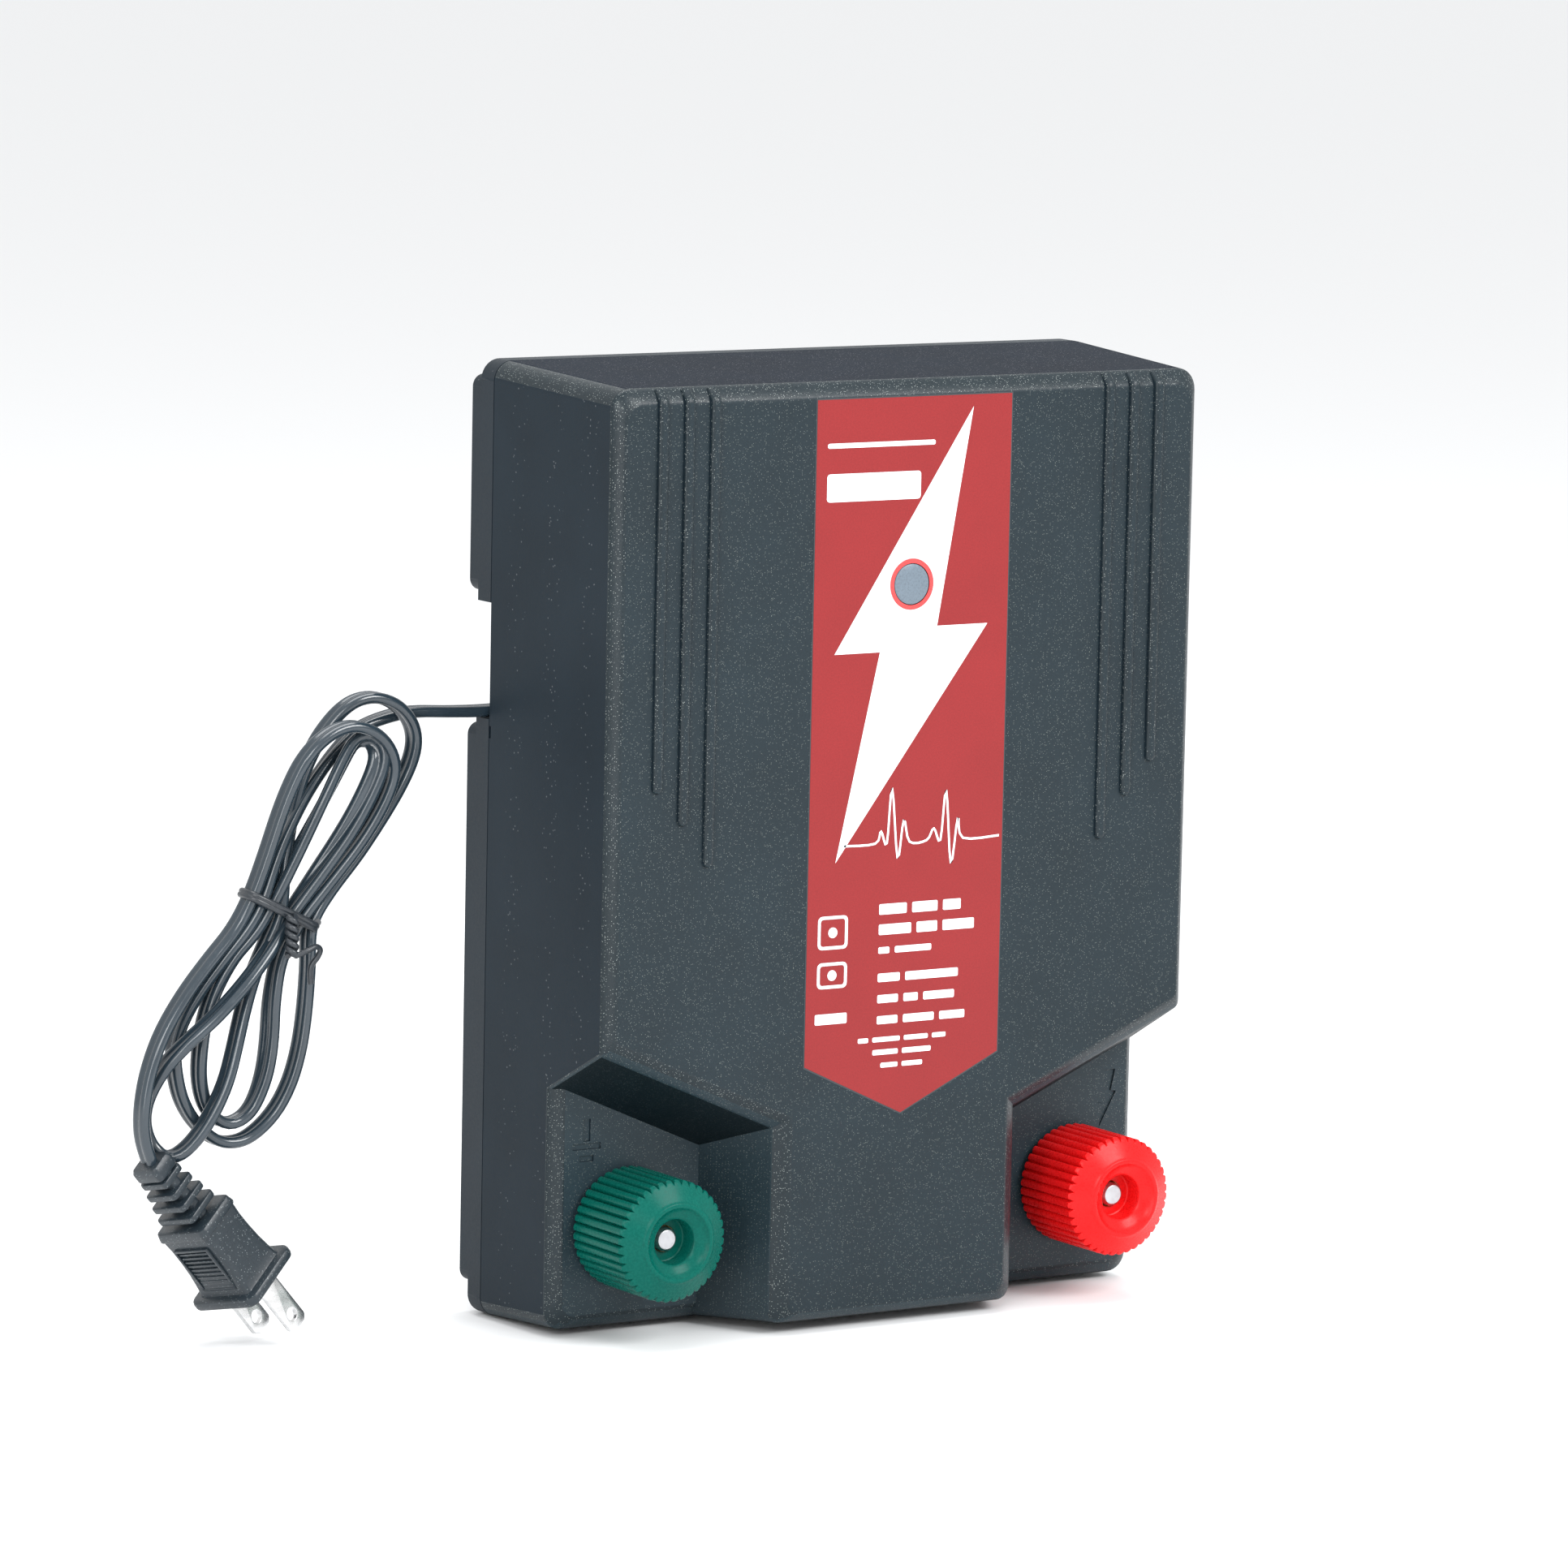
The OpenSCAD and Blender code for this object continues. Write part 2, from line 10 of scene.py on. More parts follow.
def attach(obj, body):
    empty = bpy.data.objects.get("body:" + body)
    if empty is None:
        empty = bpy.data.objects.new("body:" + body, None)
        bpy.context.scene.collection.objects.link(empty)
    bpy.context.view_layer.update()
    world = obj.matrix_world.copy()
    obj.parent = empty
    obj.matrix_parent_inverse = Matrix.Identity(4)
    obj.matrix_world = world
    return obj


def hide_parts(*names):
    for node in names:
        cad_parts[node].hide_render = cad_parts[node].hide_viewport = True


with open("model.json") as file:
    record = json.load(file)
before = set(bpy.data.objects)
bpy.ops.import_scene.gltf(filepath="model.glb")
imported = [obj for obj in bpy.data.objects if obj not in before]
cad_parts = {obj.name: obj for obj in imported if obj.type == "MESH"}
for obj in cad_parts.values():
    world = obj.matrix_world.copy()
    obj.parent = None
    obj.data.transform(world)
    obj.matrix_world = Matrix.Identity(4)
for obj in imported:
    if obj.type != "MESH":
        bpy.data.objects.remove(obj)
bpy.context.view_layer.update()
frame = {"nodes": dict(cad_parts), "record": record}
nodes = frame["nodes"]
MM = 0.001
PART_Y = 23.5  # parting plane, mm
TERMINAL_X, TERMINAL_Z = 65.3, 26.4
WINDOW_Z = 182.6


def at(x, depth, z):
    """Point at a depth in front of the parting plane, in metres."""
    return Vector((x * MM, (PART_Y - depth) * MM, z * MM))


# ---------------------------------------------------------------- camera
AZ, EL, ROLL = math.radians(-32.629), math.radians(7.894), math.radians(1.156)
CAMERA_AIM = Vector((-24.61, -11.5, 132.82)) * MM
CAMERA_DISTANCE = 2.03793


def build_camera():
    """Camera at the angle, roll and distance of the reference view."""
    back = Vector((math.sin(AZ) * math.cos(EL), -math.cos(AZ) * math.cos(EL), math.sin(EL)))
    right = Vector((math.cos(AZ), math.sin(AZ), 0))
    up = right.cross(-back)
    cam_x = right * math.cos(ROLL) + up * math.sin(ROLL)
    cam_y = -right * math.sin(ROLL) + up * math.cos(ROLL)
    data = bpy.data.cameras.new("camera")
    data.sensor_width = 36
    data.lens = 192.3
    data.shift_x = 0.00134
    data.clip_end = 20
    cam = bpy.data.objects.new("camera", data)
    bpy.context.scene.collection.objects.link(cam)
    place = Matrix((cam_x, cam_y, back)).transposed().to_4x4()
    place.translation = CAMERA_AIM + back * CAMERA_DISTANCE
    cam.matrix_world = place
    bpy.context.scene.camera = cam


build_camera()


# ---------------------------------------------------------------- mesh helpers
def new_object(name, verts, faces, smooth=True, angle=35):
    """Object from points in metres, welded, with outward normals."""
    mesh = bpy.data.meshes.new(name)
    mesh.from_pydata([tuple(v) for v in verts], [], faces)
    mesh.validate()
    bm = bmesh.new()
    bm.from_mesh(mesh)
    bmesh.ops.remove_doubles(bm, verts=bm.verts, dist=1e-7)
    bmesh.ops.recalc_face_normals(bm, faces=bm.faces)
    bm.to_mesh(mesh)
    bm.free()
    obj = bpy.data.objects.new(name, mesh)
    bpy.context.scene.collection.objects.link(obj)
    if smooth:
        shade(obj, angle)
    return obj


def shade(obj, angle=35):
    """Smooth shading, kept sharp where faces meet at more than an angle."""
    for p in obj.data.polygons:
        p.use_smooth = True
    obj.data.set_sharp_from_angle(angle=math.radians(angle))


def from_bmesh(name, bm, angle=35):
    """Object from a bmesh, which is freed."""
    mesh = bpy.data.meshes.new(name)
    bmesh.ops.recalc_face_normals(bm, faces=bm.faces)
    bm.to_mesh(mesh)
    bm.free()
    obj = bpy.data.objects.new(name, mesh)
    bpy.context.scene.collection.objects.link(obj)
    shade(obj, angle)
    return obj


def bevelled(obj, width, segments=2, limit="ANGLE", angle=25, clamp=True, weighted=True):
    """Adds a bevel of that width in mm, and makes it the mesh."""
    m = obj.modifiers.new("edge", "BEVEL")
    m.width = width * MM
    m.segments = segments
    m.limit_method = limit
    m.angle_limit = math.radians(angle)
    m.use_clamp_overlap = clamp
    m.miter_outer = "MITER_SHARP"
    if weighted:
        w = obj.modifiers.new("normals", "WEIGHTED_NORMAL")
        w.keep_sharp = True
    bake_modifiers(obj)
    return obj


def bake_modifiers(obj):
    """Makes the result of an object's modifiers its mesh."""
    bpy.context.view_layer.update()
    dg = bpy.context.evaluated_depsgraph_get()
    mesh = bpy.data.meshes.new_from_object(obj.evaluated_get(dg), depsgraph=dg)
    old = obj.data
    obj.modifiers.clear()
    obj.data = mesh
    bpy.data.meshes.remove(old)


def catmull(points, per):
    """Smooth curve through points, with per steps between two of them."""
    out = []
    pts = [Vector(p) for p in points]
    for i in range(len(pts) - 1):
        a, b, c, d = pts[max(i - 1, 0)], pts[i], pts[i + 1], pts[min(i + 2, len(pts) - 1)]
        for k in range(per):
            t = k / per
            out.append(0.5 * (2 * b + (c - a) * t + (2 * a - 5 * b + 4 * c - d) * t * t
                              + (3 * b - a - 3 * c + d) * t ** 3))
    out.append(pts[-1])
    return out


def softened(line, rounds):
    """The same line after rounds of averaging, with its ends kept."""
    pts = list(line)
    for _ in range(rounds):
        pts = [pts[0]] + [(pts[i - 1] + pts[i] * 2 + pts[i + 1]) / 4
                          for i in range(1, len(pts) - 1)] + [pts[-1]]
    return pts


def sweep(name, line, profile, turn=None, ref=Vector((0, 1, 0)), angle=60, grow=None):
    """Sweeps a closed profile of (across, through) along a line. turn gives each ring's twist."""
    verts, faces, n = [], [], len(profile)
    for i, p in enumerate(line):
        t = (line[min(i + 1, len(line) - 1)] - line[max(i - 1, 0)]).normalized()
        e = (ref - ref.dot(t) * t).normalized()
        f = t.cross(e)
        a = turn[i] if turn else 0
        e2, f2 = e * math.cos(a) + f * math.sin(a), f * math.cos(a) - e * math.sin(a)
        g = grow(i) if grow else 1
        verts += [p + (e2 * u + f2 * v) * g * MM for u, v in profile]
    for i in range(len(line) - 1):
        for s in range(n):
            a, b = i * n + s, i * n + (s + 1) % n
            faces.append((a, b, b + n, a + n))
    faces.append(tuple(range(n - 1, -1, -1)))
    faces.append(tuple(range(len(verts) - n, len(verts))))
    return new_object(name, verts, faces, True, angle)


# ---------------------------------------------------------------- materials
def material(name):
    """New node material: itself, its tree, its shader and a node maker."""
    m = bpy.data.materials.new(name)
    m.use_nodes = True
    t = m.node_tree
    return m, t, t.nodes["Principled BSDF"], lambda kind: t.nodes.new(kind)


def mm_coords(t, new, stretch=(1, 1, 1)):
    """Object coordinates in millimetres, stretched per axis."""
    tc = new("ShaderNodeTexCoord")
    mp = new("ShaderNodeMapping")
    mp.inputs["Scale"].default_value = tuple(1000 * s for s in stretch)
    t.links.new(tc.outputs["Object"], mp.inputs["Vector"])
    return mp.outputs["Vector"]


def noise(t, new, vec, scale, detail=3, rough=0.55):
    """Noise whose scale is in features per millimetre."""
    n = new("ShaderNodeTexNoise")
    n.inputs["Scale"].default_value = scale
    n.inputs["Detail"].default_value = detail
    n.inputs["Roughness"].default_value = rough
    t.links.new(vec, n.inputs["Vector"])
    return n.outputs["Fac"]


def ramp(t, new, fac, stops):
    """Colour ramp over a factor, from (position, colour) stops."""
    r = new("ShaderNodeValToRGB")
    els = r.color_ramp.elements
    while len(els) < len(stops):
        els.new(0.5)
    for e, (pos, col) in zip(els, stops):
        e.position = pos
        e.color = (*col, 1) if len(col) == 3 else col
    t.links.new(fac, r.inputs["Fac"])
    return r.outputs["Color"]


def grey(v):
    """Grey as a colour."""
    return (v, v, v)


def mix_color(t, new, fac, a, b):
    """Mix of two colours, each one fixed or from a socket."""
    m = new("ShaderNodeMix")
    m.data_type = "RGBA"
    for sock, val in ((m.inputs[0], fac), (m.inputs[6], a), (m.inputs[7], b)):
        if hasattr(val, "links"):
            t.links.new(val, sock)
        elif sock is m.inputs[0]:
            sock.default_value = val
        else:
            sock.default_value = (*val, 1)
    return m.outputs[2]


def add_bump(t, new, bsdf, heights):
    """Chains bumps: (height output, strength, distance in mm)."""
    last = None
    for h, strength, dist in heights:
        b = new("ShaderNodeBump")
        b.inputs["Strength"].default_value = strength
        b.inputs["Distance"].default_value = dist * MM
        t.links.new(h, b.inputs["Height"])
        if last:
            t.links.new(last, b.inputs["Normal"])
        last = b.outputs["Normal"]
    t.links.new(last, bsdf.inputs["Normal"])


def moulded(name, color, rough, grain=0.7, bump=0.35, fleck_and_glint_share=0.0, fleck_and_glint_colour=(0.5, 0.55, 0.6),
            vary=0.12, spec=0.5, coat=0.0, cell=1.1, mottle=0.6):
    """Moulded plastic: eroded grain, slow colour drift and sparse bright specks, flecks of the plastic
    made bright as painted glints.
    """
    m, t, b, new = material(name)
    v = mm_coords(t, new)
    slow = noise(t, new, v, 0.035, 4, 0.6)
    fine = noise(t, new, v, 1.0 / grain, 3, 0.6)
    lo = tuple(c * (1 - vary) for c in color)
    hi = tuple(min(1, c * (1 + vary)) for c in color)
    base = ramp(t, new, slow, [(0.3, lo), (0.7, hi)])
    grainy = ramp(t, new, fine, [(0.25, grey(0.72)), (0.75, grey(1.25))])
    mul = new("ShaderNodeMix")
    mul.data_type = "RGBA"
    mul.blend_type = "MULTIPLY"
    mul.inputs[0].default_value = mottle
    t.links.new(base, mul.inputs[6])
    t.links.new(grainy, mul.inputs[7])
    col = mul.outputs[2]
    rgh = ramp(t, new, fine, [(0.2, grey(rough - 0.08)), (0.8, grey(min(1, rough + 0.1)))])
    # Bright specks in the base colour, with low roughness: flecks of the plastic, brightened as painted
    # glints.
    if fleck_and_glint_share > 0:
        vo = new("ShaderNodeTexVoronoi")
        vo.inputs["Scale"].default_value = 1.0 / cell
        t.links.new(v, vo.inputs["Vector"])
        sep = new("ShaderNodeSeparateColor")
        t.links.new(vo.outputs["Color"], sep.inputs["Color"])
        pick = ramp(t, new, sep.outputs[0], [(1 - fleck_and_glint_share - 0.01, grey(0)), (1 - fleck_and_glint_share, grey(1))])
        spot = ramp(t, new, vo.outputs["Distance"], [(0.16, grey(1)), (0.3, grey(0))])
        both = new("ShaderNodeMath")
        both.operation = "MULTIPLY"
        t.links.new(pick, both.inputs[0])
        t.links.new(spot, both.inputs[1])
        col = mix_color(t, new, both.outputs[0], col, fleck_and_glint_colour)
        rgh = mix_color(t, new, both.outputs[0], rgh, grey(0.25))
    t.links.new(col, b.inputs["Base Color"])
    t.links.new(rgh, b.inputs["Roughness"])
    b.inputs["Specular IOR Level"].default_value = spec
    b.inputs["Coat Weight"].default_value = coat
    b.inputs["Coat Roughness"].default_value = 0.2
    coarse = noise(t, new, v, 0.35 / grain, 2, 0.5)
    add_bump(t, new, b, [(coarse, bump * 0.5, 0.05), (fine, bump, 0.04)])
    return m


def metal(name, color, rough, brushed=(1, 1, 1), scale=1.2, spots=None):
    """Metal with slow tint changes, fine roughness and a light brushed bump."""
    m, t, b, new = material(name)
    v = mm_coords(t, new, brushed)
    fine = noise(t, new, v, scale, 4, 0.65)
    slow = noise(t, new, v, 0.12, 3, 0.6)
    lo = tuple(c * 0.78 for c in color)
    base = ramp(t, new, slow, [(0.3, lo), (0.7, color)])
    if spots:
        base = mix_color(t, new, ramp(t, new, fine, [(0.62, grey(0)), (0.7, grey(1))]), base, spots)
    t.links.new(base, b.inputs["Base Color"])
    t.links.new(ramp(t, new, fine, [(0.2, grey(max(0.03, rough - 0.1))), (0.8, grey(rough + 0.15))]),
                b.inputs["Roughness"])
    b.inputs["Metallic"].default_value = 1.0
    add_bump(t, new, b, [(fine, 0.25, 0.02)])
    return m


MAT = {
    "housing": moulded("housing", (0.008, 0.0170, 0.0230), 0.44, 0.5, 0.85, 0.35,
                       (0.15, 0.17, 0.16), spec=0.28, cell=0.36),
    # Copy of the housing plastic for the side walls, less specular and with fewer bright specks: painted
    # shade.
    "housing_side_painted_shade": moulded("housing_side_painted_shade", (0.0085, 0.0160, 0.0235), 0.5, 0.7, 0.3, 0.05,
                            (0.10, 0.11, 0.12), spec=0.14, cell=0.8),
    # Copy of the housing plastic for the edge chamfers and rounds, glossier and crowded with bright
    # specks: painted highlight.
    "housing_edge_painted_highlight": moulded("housing_edge_painted_highlight", (0.009, 0.017, 0.022), 0.34, 0.5, 0.9, 0.4,
                            (0.28, 0.31, 0.30), spec=0.3, cell=0.36),
    # Copy of the housing plastic for the top face, darker and barely specular: painted shade.
    "housing_top_painted_shade": moulded("housing_top_painted_shade", (0.0045, 0.009, 0.0165), 0.55, 0.5, 0.5, 0.2,
                           (0.09, 0.09, 0.11), spec=0.05, cell=0.5),
    # Copy of the housing plastic for the recess faces, lighter than the front face: painted light.
    "housing_recess_painted_light": moulded("housing_recess_painted_light", (0.013, 0.026, 0.034), 0.46, 0.5, 0.85, 0.35,
                              (0.15, 0.17, 0.16), spec=0.32, cell=0.36),
    # Copy of the housing plastic for the undersides, much darker: painted shade.
    "housing_under_painted_shade": moulded("housing_under_painted_shade", (0.0035, 0.008, 0.0105), 0.5, 0.5, 0.6, 0.3,
                             (0.06, 0.07, 0.07), spec=0.12, cell=0.36),
    "cover": moulded("cover", (0.009, 0.016, 0.023), 0.5, 0.7, 0.3, 0.04, (0.08, 0.08, 0.09),
                     spec=0.22, cell=0.8),
    "label": moulded("label", (0.235, 0.015, 0.0165), 0.4, 0.4, 0.06, 0.0, vary=0.05, spec=0.3),
    # Dark colour of the rim round the label: painted shadow of its gap.
    "label_gap_shadow": moulded("label_gap_shadow", (0.03, 0.036, 0.042), 0.6, 0.6, 0.2),
    "print_white": moulded("print_white", (0.80, 0.84, 0.86), 0.42, 0.4, 0.05, 0.0, vary=0.03),
    "print_faint": moulded("print_faint", (0.76, 0.80, 0.83), 0.36, 0.4, 0.05, 0.0, vary=0.02),
    "ring_red": moulded("ring_red", (0.62, 0.05, 0.05), 0.3, 0.4, 0.05, 0.0, vary=0.05),
    "lens": moulded("lens", (0.13, 0.165, 0.20), 0.3, 0.5, 0.1, 0.0, vary=0.1, spec=0.3),
    "knob_green": moulded("knob_green", (0.001, 0.092, 0.070), 0.26, 0.6, 0.1, 0.0, vary=0.06, spec=0.1),
    "knob_red": moulded("knob_red", (0.72, 0.008, 0.009), 0.28, 0.6, 0.1, 0.0, vary=0.06, spec=0.18),
    "steel": metal("steel", (0.56, 0.57, 0.59), 0.34),
    "brass": metal("brass", (0.66, 0.5, 0.24), 0.3),
    "blade": metal("blade", (0.90, 0.90, 0.90), 0.26, (1, 1, 6), 3.0),
    "cord": moulded("cord", (0.017, 0.029, 0.040), 0.18, 2.5, 0.04, 0.0, vary=0.12, spec=0.75,
                    mottle=0.12),
    "cord_moulding": moulded("cord_moulding", (0.013, 0.021, 0.028), 0.36, 0.5, 0.6, 0.3,
                             (0.20, 0.23, 0.24), spec=0.5, cell=0.45),
    "tie": moulded("tie", (0.022, 0.027, 0.033), 0.3, 1.0, 0.1),
    "wire": moulded("wire", (0.3, 0.03, 0.035), 0.45),
    "board": moulded("board", (0.03, 0.14, 0.07), 0.35, 0.9, 0.1),
    "capacitor": moulded("capacitor", (0.02, 0.035, 0.08), 0.3, 1.0, 0.1),
    "capacitor_black": moulded("capacitor_black", (0.015, 0.017, 0.022), 0.3, 1.0, 0.1),
    "core": metal("core", (0.25, 0.25, 0.26), 0.55, (1, 12, 1), 0.6),
    "winding": moulded("winding", (0.2, 0.07, 0.02), 0.35, 0.7, 0.3),
    "chip": moulded("chip", (0.012, 0.013, 0.015), 0.5),
    "aluminium": metal("aluminium", (0.7, 0.71, 0.73), 0.4, (8, 1, 1), 0.5),
    "led": moulded("led", (0.75, 0.78, 0.8), 0.15),
    "fuse_glass": moulded("fuse_glass", (0.7, 0.75, 0.78), 0.1),
    "varistor": moulded("varistor", (0.02, 0.1, 0.26), 0.3),
}


def paint(obj, *names):
    """Gives an object these named materials."""
    obj.data.materials.clear()
    for n in names:
        obj.data.materials.append(MAT[n])


slots = {s["node"]: s["material_slot"] for s in frame["record"]["subparts"]}
for name, obj in nodes.items():
    for i in range(max(1, len(obj.material_slots))):
        if not obj.material_slots:
            obj.data.materials.append(MAT[slots[name]])
        obj.material_slots[i].material = MAT[slots[name]]


def frame_body(node):
    """Body that a CAD node belongs to."""
    groups = frame["record"]["behaviour"]["bodies"]
    return next(body for body, members in groups.items() if node in members)


def piece(obj, body, stands_for, slot_name, *mats):
    """Paints a piece, hangs it on the body it rides on and hides the nodes it stands for; slot_name is
    not used.
    """
    if mats:
        paint(obj, *mats)
    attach(obj, body)
    if stands_for:
        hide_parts(*stands_for)
    return obj


# ---------------------------------------------------------------- mains lead
# Middle line of the flat cord: lead, then down and up through the tie, and down to the plug.
ROUTE = [
    (-67, 27.1, 150.4, 0), (-75, 27.3, 149.8, 0), (-87, 28, 149.4, 0), (-96, 28.5, 149.6, 0),
    (-105, 29, 150, 0), (-112, 29.1, 149.2, 0), (-120, 29, 146.8, 5), (-126, 28, 142.6, 10),
    (-132, 26.7, 137, 15), (-138.5, 25.6, 129, 10), (-145, 24.6, 118, 5), (-149.8, 23.5, 107, 0),
    (-154, 23.6, 100.5, 0), (-159, 24.2, 94.6, 0), (-165.4, 25, 86.5, 0), (-170, 25.4, 79, 0),
    (-171.8, 25.6, 72, 0), (-171, 25.6, 65, 0), (-169.2, 25.6, 59.5, 0), (-165.8, 25.6, 54.4, 0),
    (-161, 25.6, 50.2, 0), (-156, 25.4, 48.9, 0), (-150.9, 25.2, 50.2, 0), (-145, 25, 55, 0),
    (-140.8, 24.6, 62, 0), (-138.2, 24.2, 71, 0), (-136.9, 24, 81, 0), (-136.4, 23.7, 91, 0),
    (-136.1, 23.5, 100.7, 0), (-131, 23.6, 108.5, 0), (-123.5, 23.5, 117, 0),
    (-115.9, 23.5, 127, 0), (-111, 23.5, 134.6, 0), (-108.4, 23.5, 140.4, 0),
    (-108, 23.5, 145, 0), (-109.6, 23.5, 149.2, 0), (-113.3, 23.7, 152.9, 0),
    (-118.5, 24, 154.8, 0), (-123.6, 24.3, 154.3, 0), (-127.6, 24.8, 151.9, 0),
    (-131, 25.4, 148.2, 0), (-134, 26, 143.6, 0), (-137.4, 26.6, 136, 0), (-140.4, 26.2, 126, 0),
    (-142.8, 25, 116, 0), (-144.5, 23.6, 104.5, 0), (-147.6, 24.2, 97, 0), (-151.4, 24, 89, 0),
    (-154.8, 22.5, 81, 0), (-158, 20.8, 72, 0), (-160.8, 19.8, 64.5, 0), (-164.8, 19.6, 57, 0),
    (-169.4, 20.6, 50.4, 0), (-173.4, 23, 47.2, 0), (-177, 25.6, 49.2, 0), (-179.2, 26.4, 54.6, 0),
    (-179, 25.6, 61, 0), (-176.4, 22.6, 68.5, 0), (-171.6, 19.4, 75, 0), (-164.6, 18, 81.2, 0),
    (-157, 18.4, 88, 0), (-149.6, 20.3, 95, 0), (-141.9, 23.5, 103.2, 0), (-135, 22, 113, 20),
    (-128, 19.6, 124, 45), (-123, 18, 134, 60), (-120.3, 18.2, 141, 55), (-121.4, 20.2, 145, 45),
    (-125, 21.8, 144.8, 40), (-129, 21.4, 139.4, 40), (-134, 21, 131, 30), (-141, 22, 118, 10),
    (-147.3, 23.5, 105.8, 0), (-151.6, 24, 99.4, 0), (-156.4, 24.8, 94, 0), (-160.8, 25.2, 86.7, 0),
    (-163.6, 25.4, 79, 0), (-164.8, 25.4, 71, 0), (-164.8, 25.4, 64.4, 0), (-163.2, 25.4, 58.6, 0),
    (-160.2, 25.4, 54.9, 0), (-156.2, 25.4, 53.6, 0), (-152.2, 25.2, 55.4, 0), (-149.4, 25, 59.4, 5),
    (-147.2, 24.8, 66, 15), (-146.2, 24.6, 74, 20), (-145.8, 24.4, 83, 15), (-144, 24, 93, 5),
    (-139, 23.5, 102, 0), (-131.5, 22, 111.5, 0), (-124, 20.6, 121, 0), (-118.6, 19.6, 130, 0),
    (-116.6, 18.4, 137.6, 0), (-118.4, 17.8, 143.2, 0), (-122.2, 17.8, 147.1, 0),
    (-127.5, 17.8, 149, 0), (-133, 17.8, 148.2, 0), (-138, 17.8, 145.2, 0), (-141.7, 18.3, 140.8, 0),
    (-144.3, 19.4, 135, 0), (-146.6, 20.6, 128, 0), (-149.4, 22, 118, 0), (-152.7, 23.2, 108.2, 0),
    (-157, 23.5, 100.8, 0), (-163.4, 22.6, 94.6, 0), (-171, 21.6, 86.6, 0), (-177.6, 20.6, 77.6, 0),
    (-181.6, 19.9, 68.5, 0), (-183.2, 19.8, 60, 0), (-182.8, 20.2, 53, 0), (-180.4, 21, 46.8, 0),
]
CORD_W, CORD_T = 5.6, 2.8
RING_STEP = 1.1 * MM


def cord_profile(samples=14):
    """Section of the flat cord: two round lobes side by side."""
    lobe = CORD_T / 2
    pts = []
    for side in (1, -1):
        for k in range(samples + 1):
            a = math.radians(-140 + 280 * k / samples)
            x, y = lobe + lobe * math.cos(a), lobe * math.sin(a)
            if side < 0:
                x, y = -x, -y
            pts.append((x, y))
    return pts


def cord_rings():
    """Middle line of the cord with a ring about every RING_STEP, and each ring's twist."""
    dense = softened(catmull([[c * MM for c in p[:3]] for p in ROUTE], 8), 6)
    angles = catmull([(p[3], 0, 0) for p in ROUTE], 8)
    line, turn, carry = [dense[0]], [angles[0].x], 0
    for a, b, twist in zip(dense, dense[1:], angles[1:]):
        carry += (b - a).length
        if carry >= RING_STEP:
            line.append(b)
            turn.append(twist.x)
            carry = 0
    if (line[-1] - dense[-1]).length > 1e-6:
        line.append(dense[-1])
        turn.append(angles[-1].x)
    return line, [math.radians(a) for a in turn]


line, turn = cord_rings()
cord = sweep("mains_cord", line, cord_profile(), turn, angle=50)
piece(cord, "case", ["cord_lead", "cord_hank", "cord_tail"], "cord", "cord")

# ---------------------------------------------------------------- case front
DRAFT = math.tan(math.radians(3))
SLOPE = math.tan(math.radians(23.5))
HALF_W, HEIGHT, FRONT, FOOT = 87, 235, 53, 31
SHELL_T = 2.5
CORNER_R = 5
# Eased chamfer: share of inset and of drop at each slice, from the wall to the face
CHAMFER = [(0, 1.3), (0.04, 1.12), (0.14, 0.94), (0.5, 0.5), (0.94, 0.14), (1.12, 0.04), (1.3, 0)]


def arc(cx, cz, r, a0, a1, steps=8):
    """Points (x, z) on an arc between two angles in degrees."""
    return [(cx + r * math.cos(math.radians(a0 + (a1 - a0) * k / steps)),
             cz + r * math.sin(math.radians(a0 + (a1 - a0) * k / steps))) for k in range(steps + 1)]


def disc(cx, cz, r, steps=48):
    """Points (x, z) round a full circle."""
    return [(cx + r * math.cos(2 * math.pi * k / steps), cz + r * math.sin(2 * math.pi * k / steps))
            for k in range(steps)]


def hull(name, points):
    """Closed convex mesh round a set of points."""
    bm = bmesh.new()
    for p in points:
        bm.verts.new(p)
    out = bmesh.ops.convex_hull(bm, input=bm.verts)
    loose = [g for g in out["geom_interior"] + out["geom_unused"] if isinstance(g, bmesh.types.BMVert)]
    bmesh.ops.delete(bm, geom=list(set(loose)), context="VERTS")
    return from_bmesh(name, bm)


def half_at(d):
    """Half width of the drafted case at a depth."""
    return HALF_W - d * DRAFT


def lift_at(d):
    """Height of the block's lower edge on the middle plane at a depth."""
    return 37.4 - (FRONT - d) * 12 / 22


def tongue_at(d):
    """Half width of the tongue at a depth."""
    return 34 + (FRONT - d) * 10 / 22


def box_slice(d, half, z0, z1, r_top, r_low):
    """Rounded rectangle at a depth, with its own top and low corner radii."""
    pts = []
    for s in (-1, 1):
        pts += [(s * x, z) for x, z in arc(half - r_top, z1 - r_top, r_top, 0, 90)]
        pts += [(s * x, z) for x, z in arc(half - r_low, z0 + r_low, r_low, -90, 0)]
    return [at(x, d, z) for x, z in pts]


def foot_slice(d, t, side=0.0, top=0.0):
    """Section of the full case at a depth, set in by t."""
    r = max(1.0, CORNER_R - t / 2)
    return box_slice(d, half_at(d) - t - side, d * DRAFT + t + top, HEIGHT - d * DRAFT - t - top, r, r)


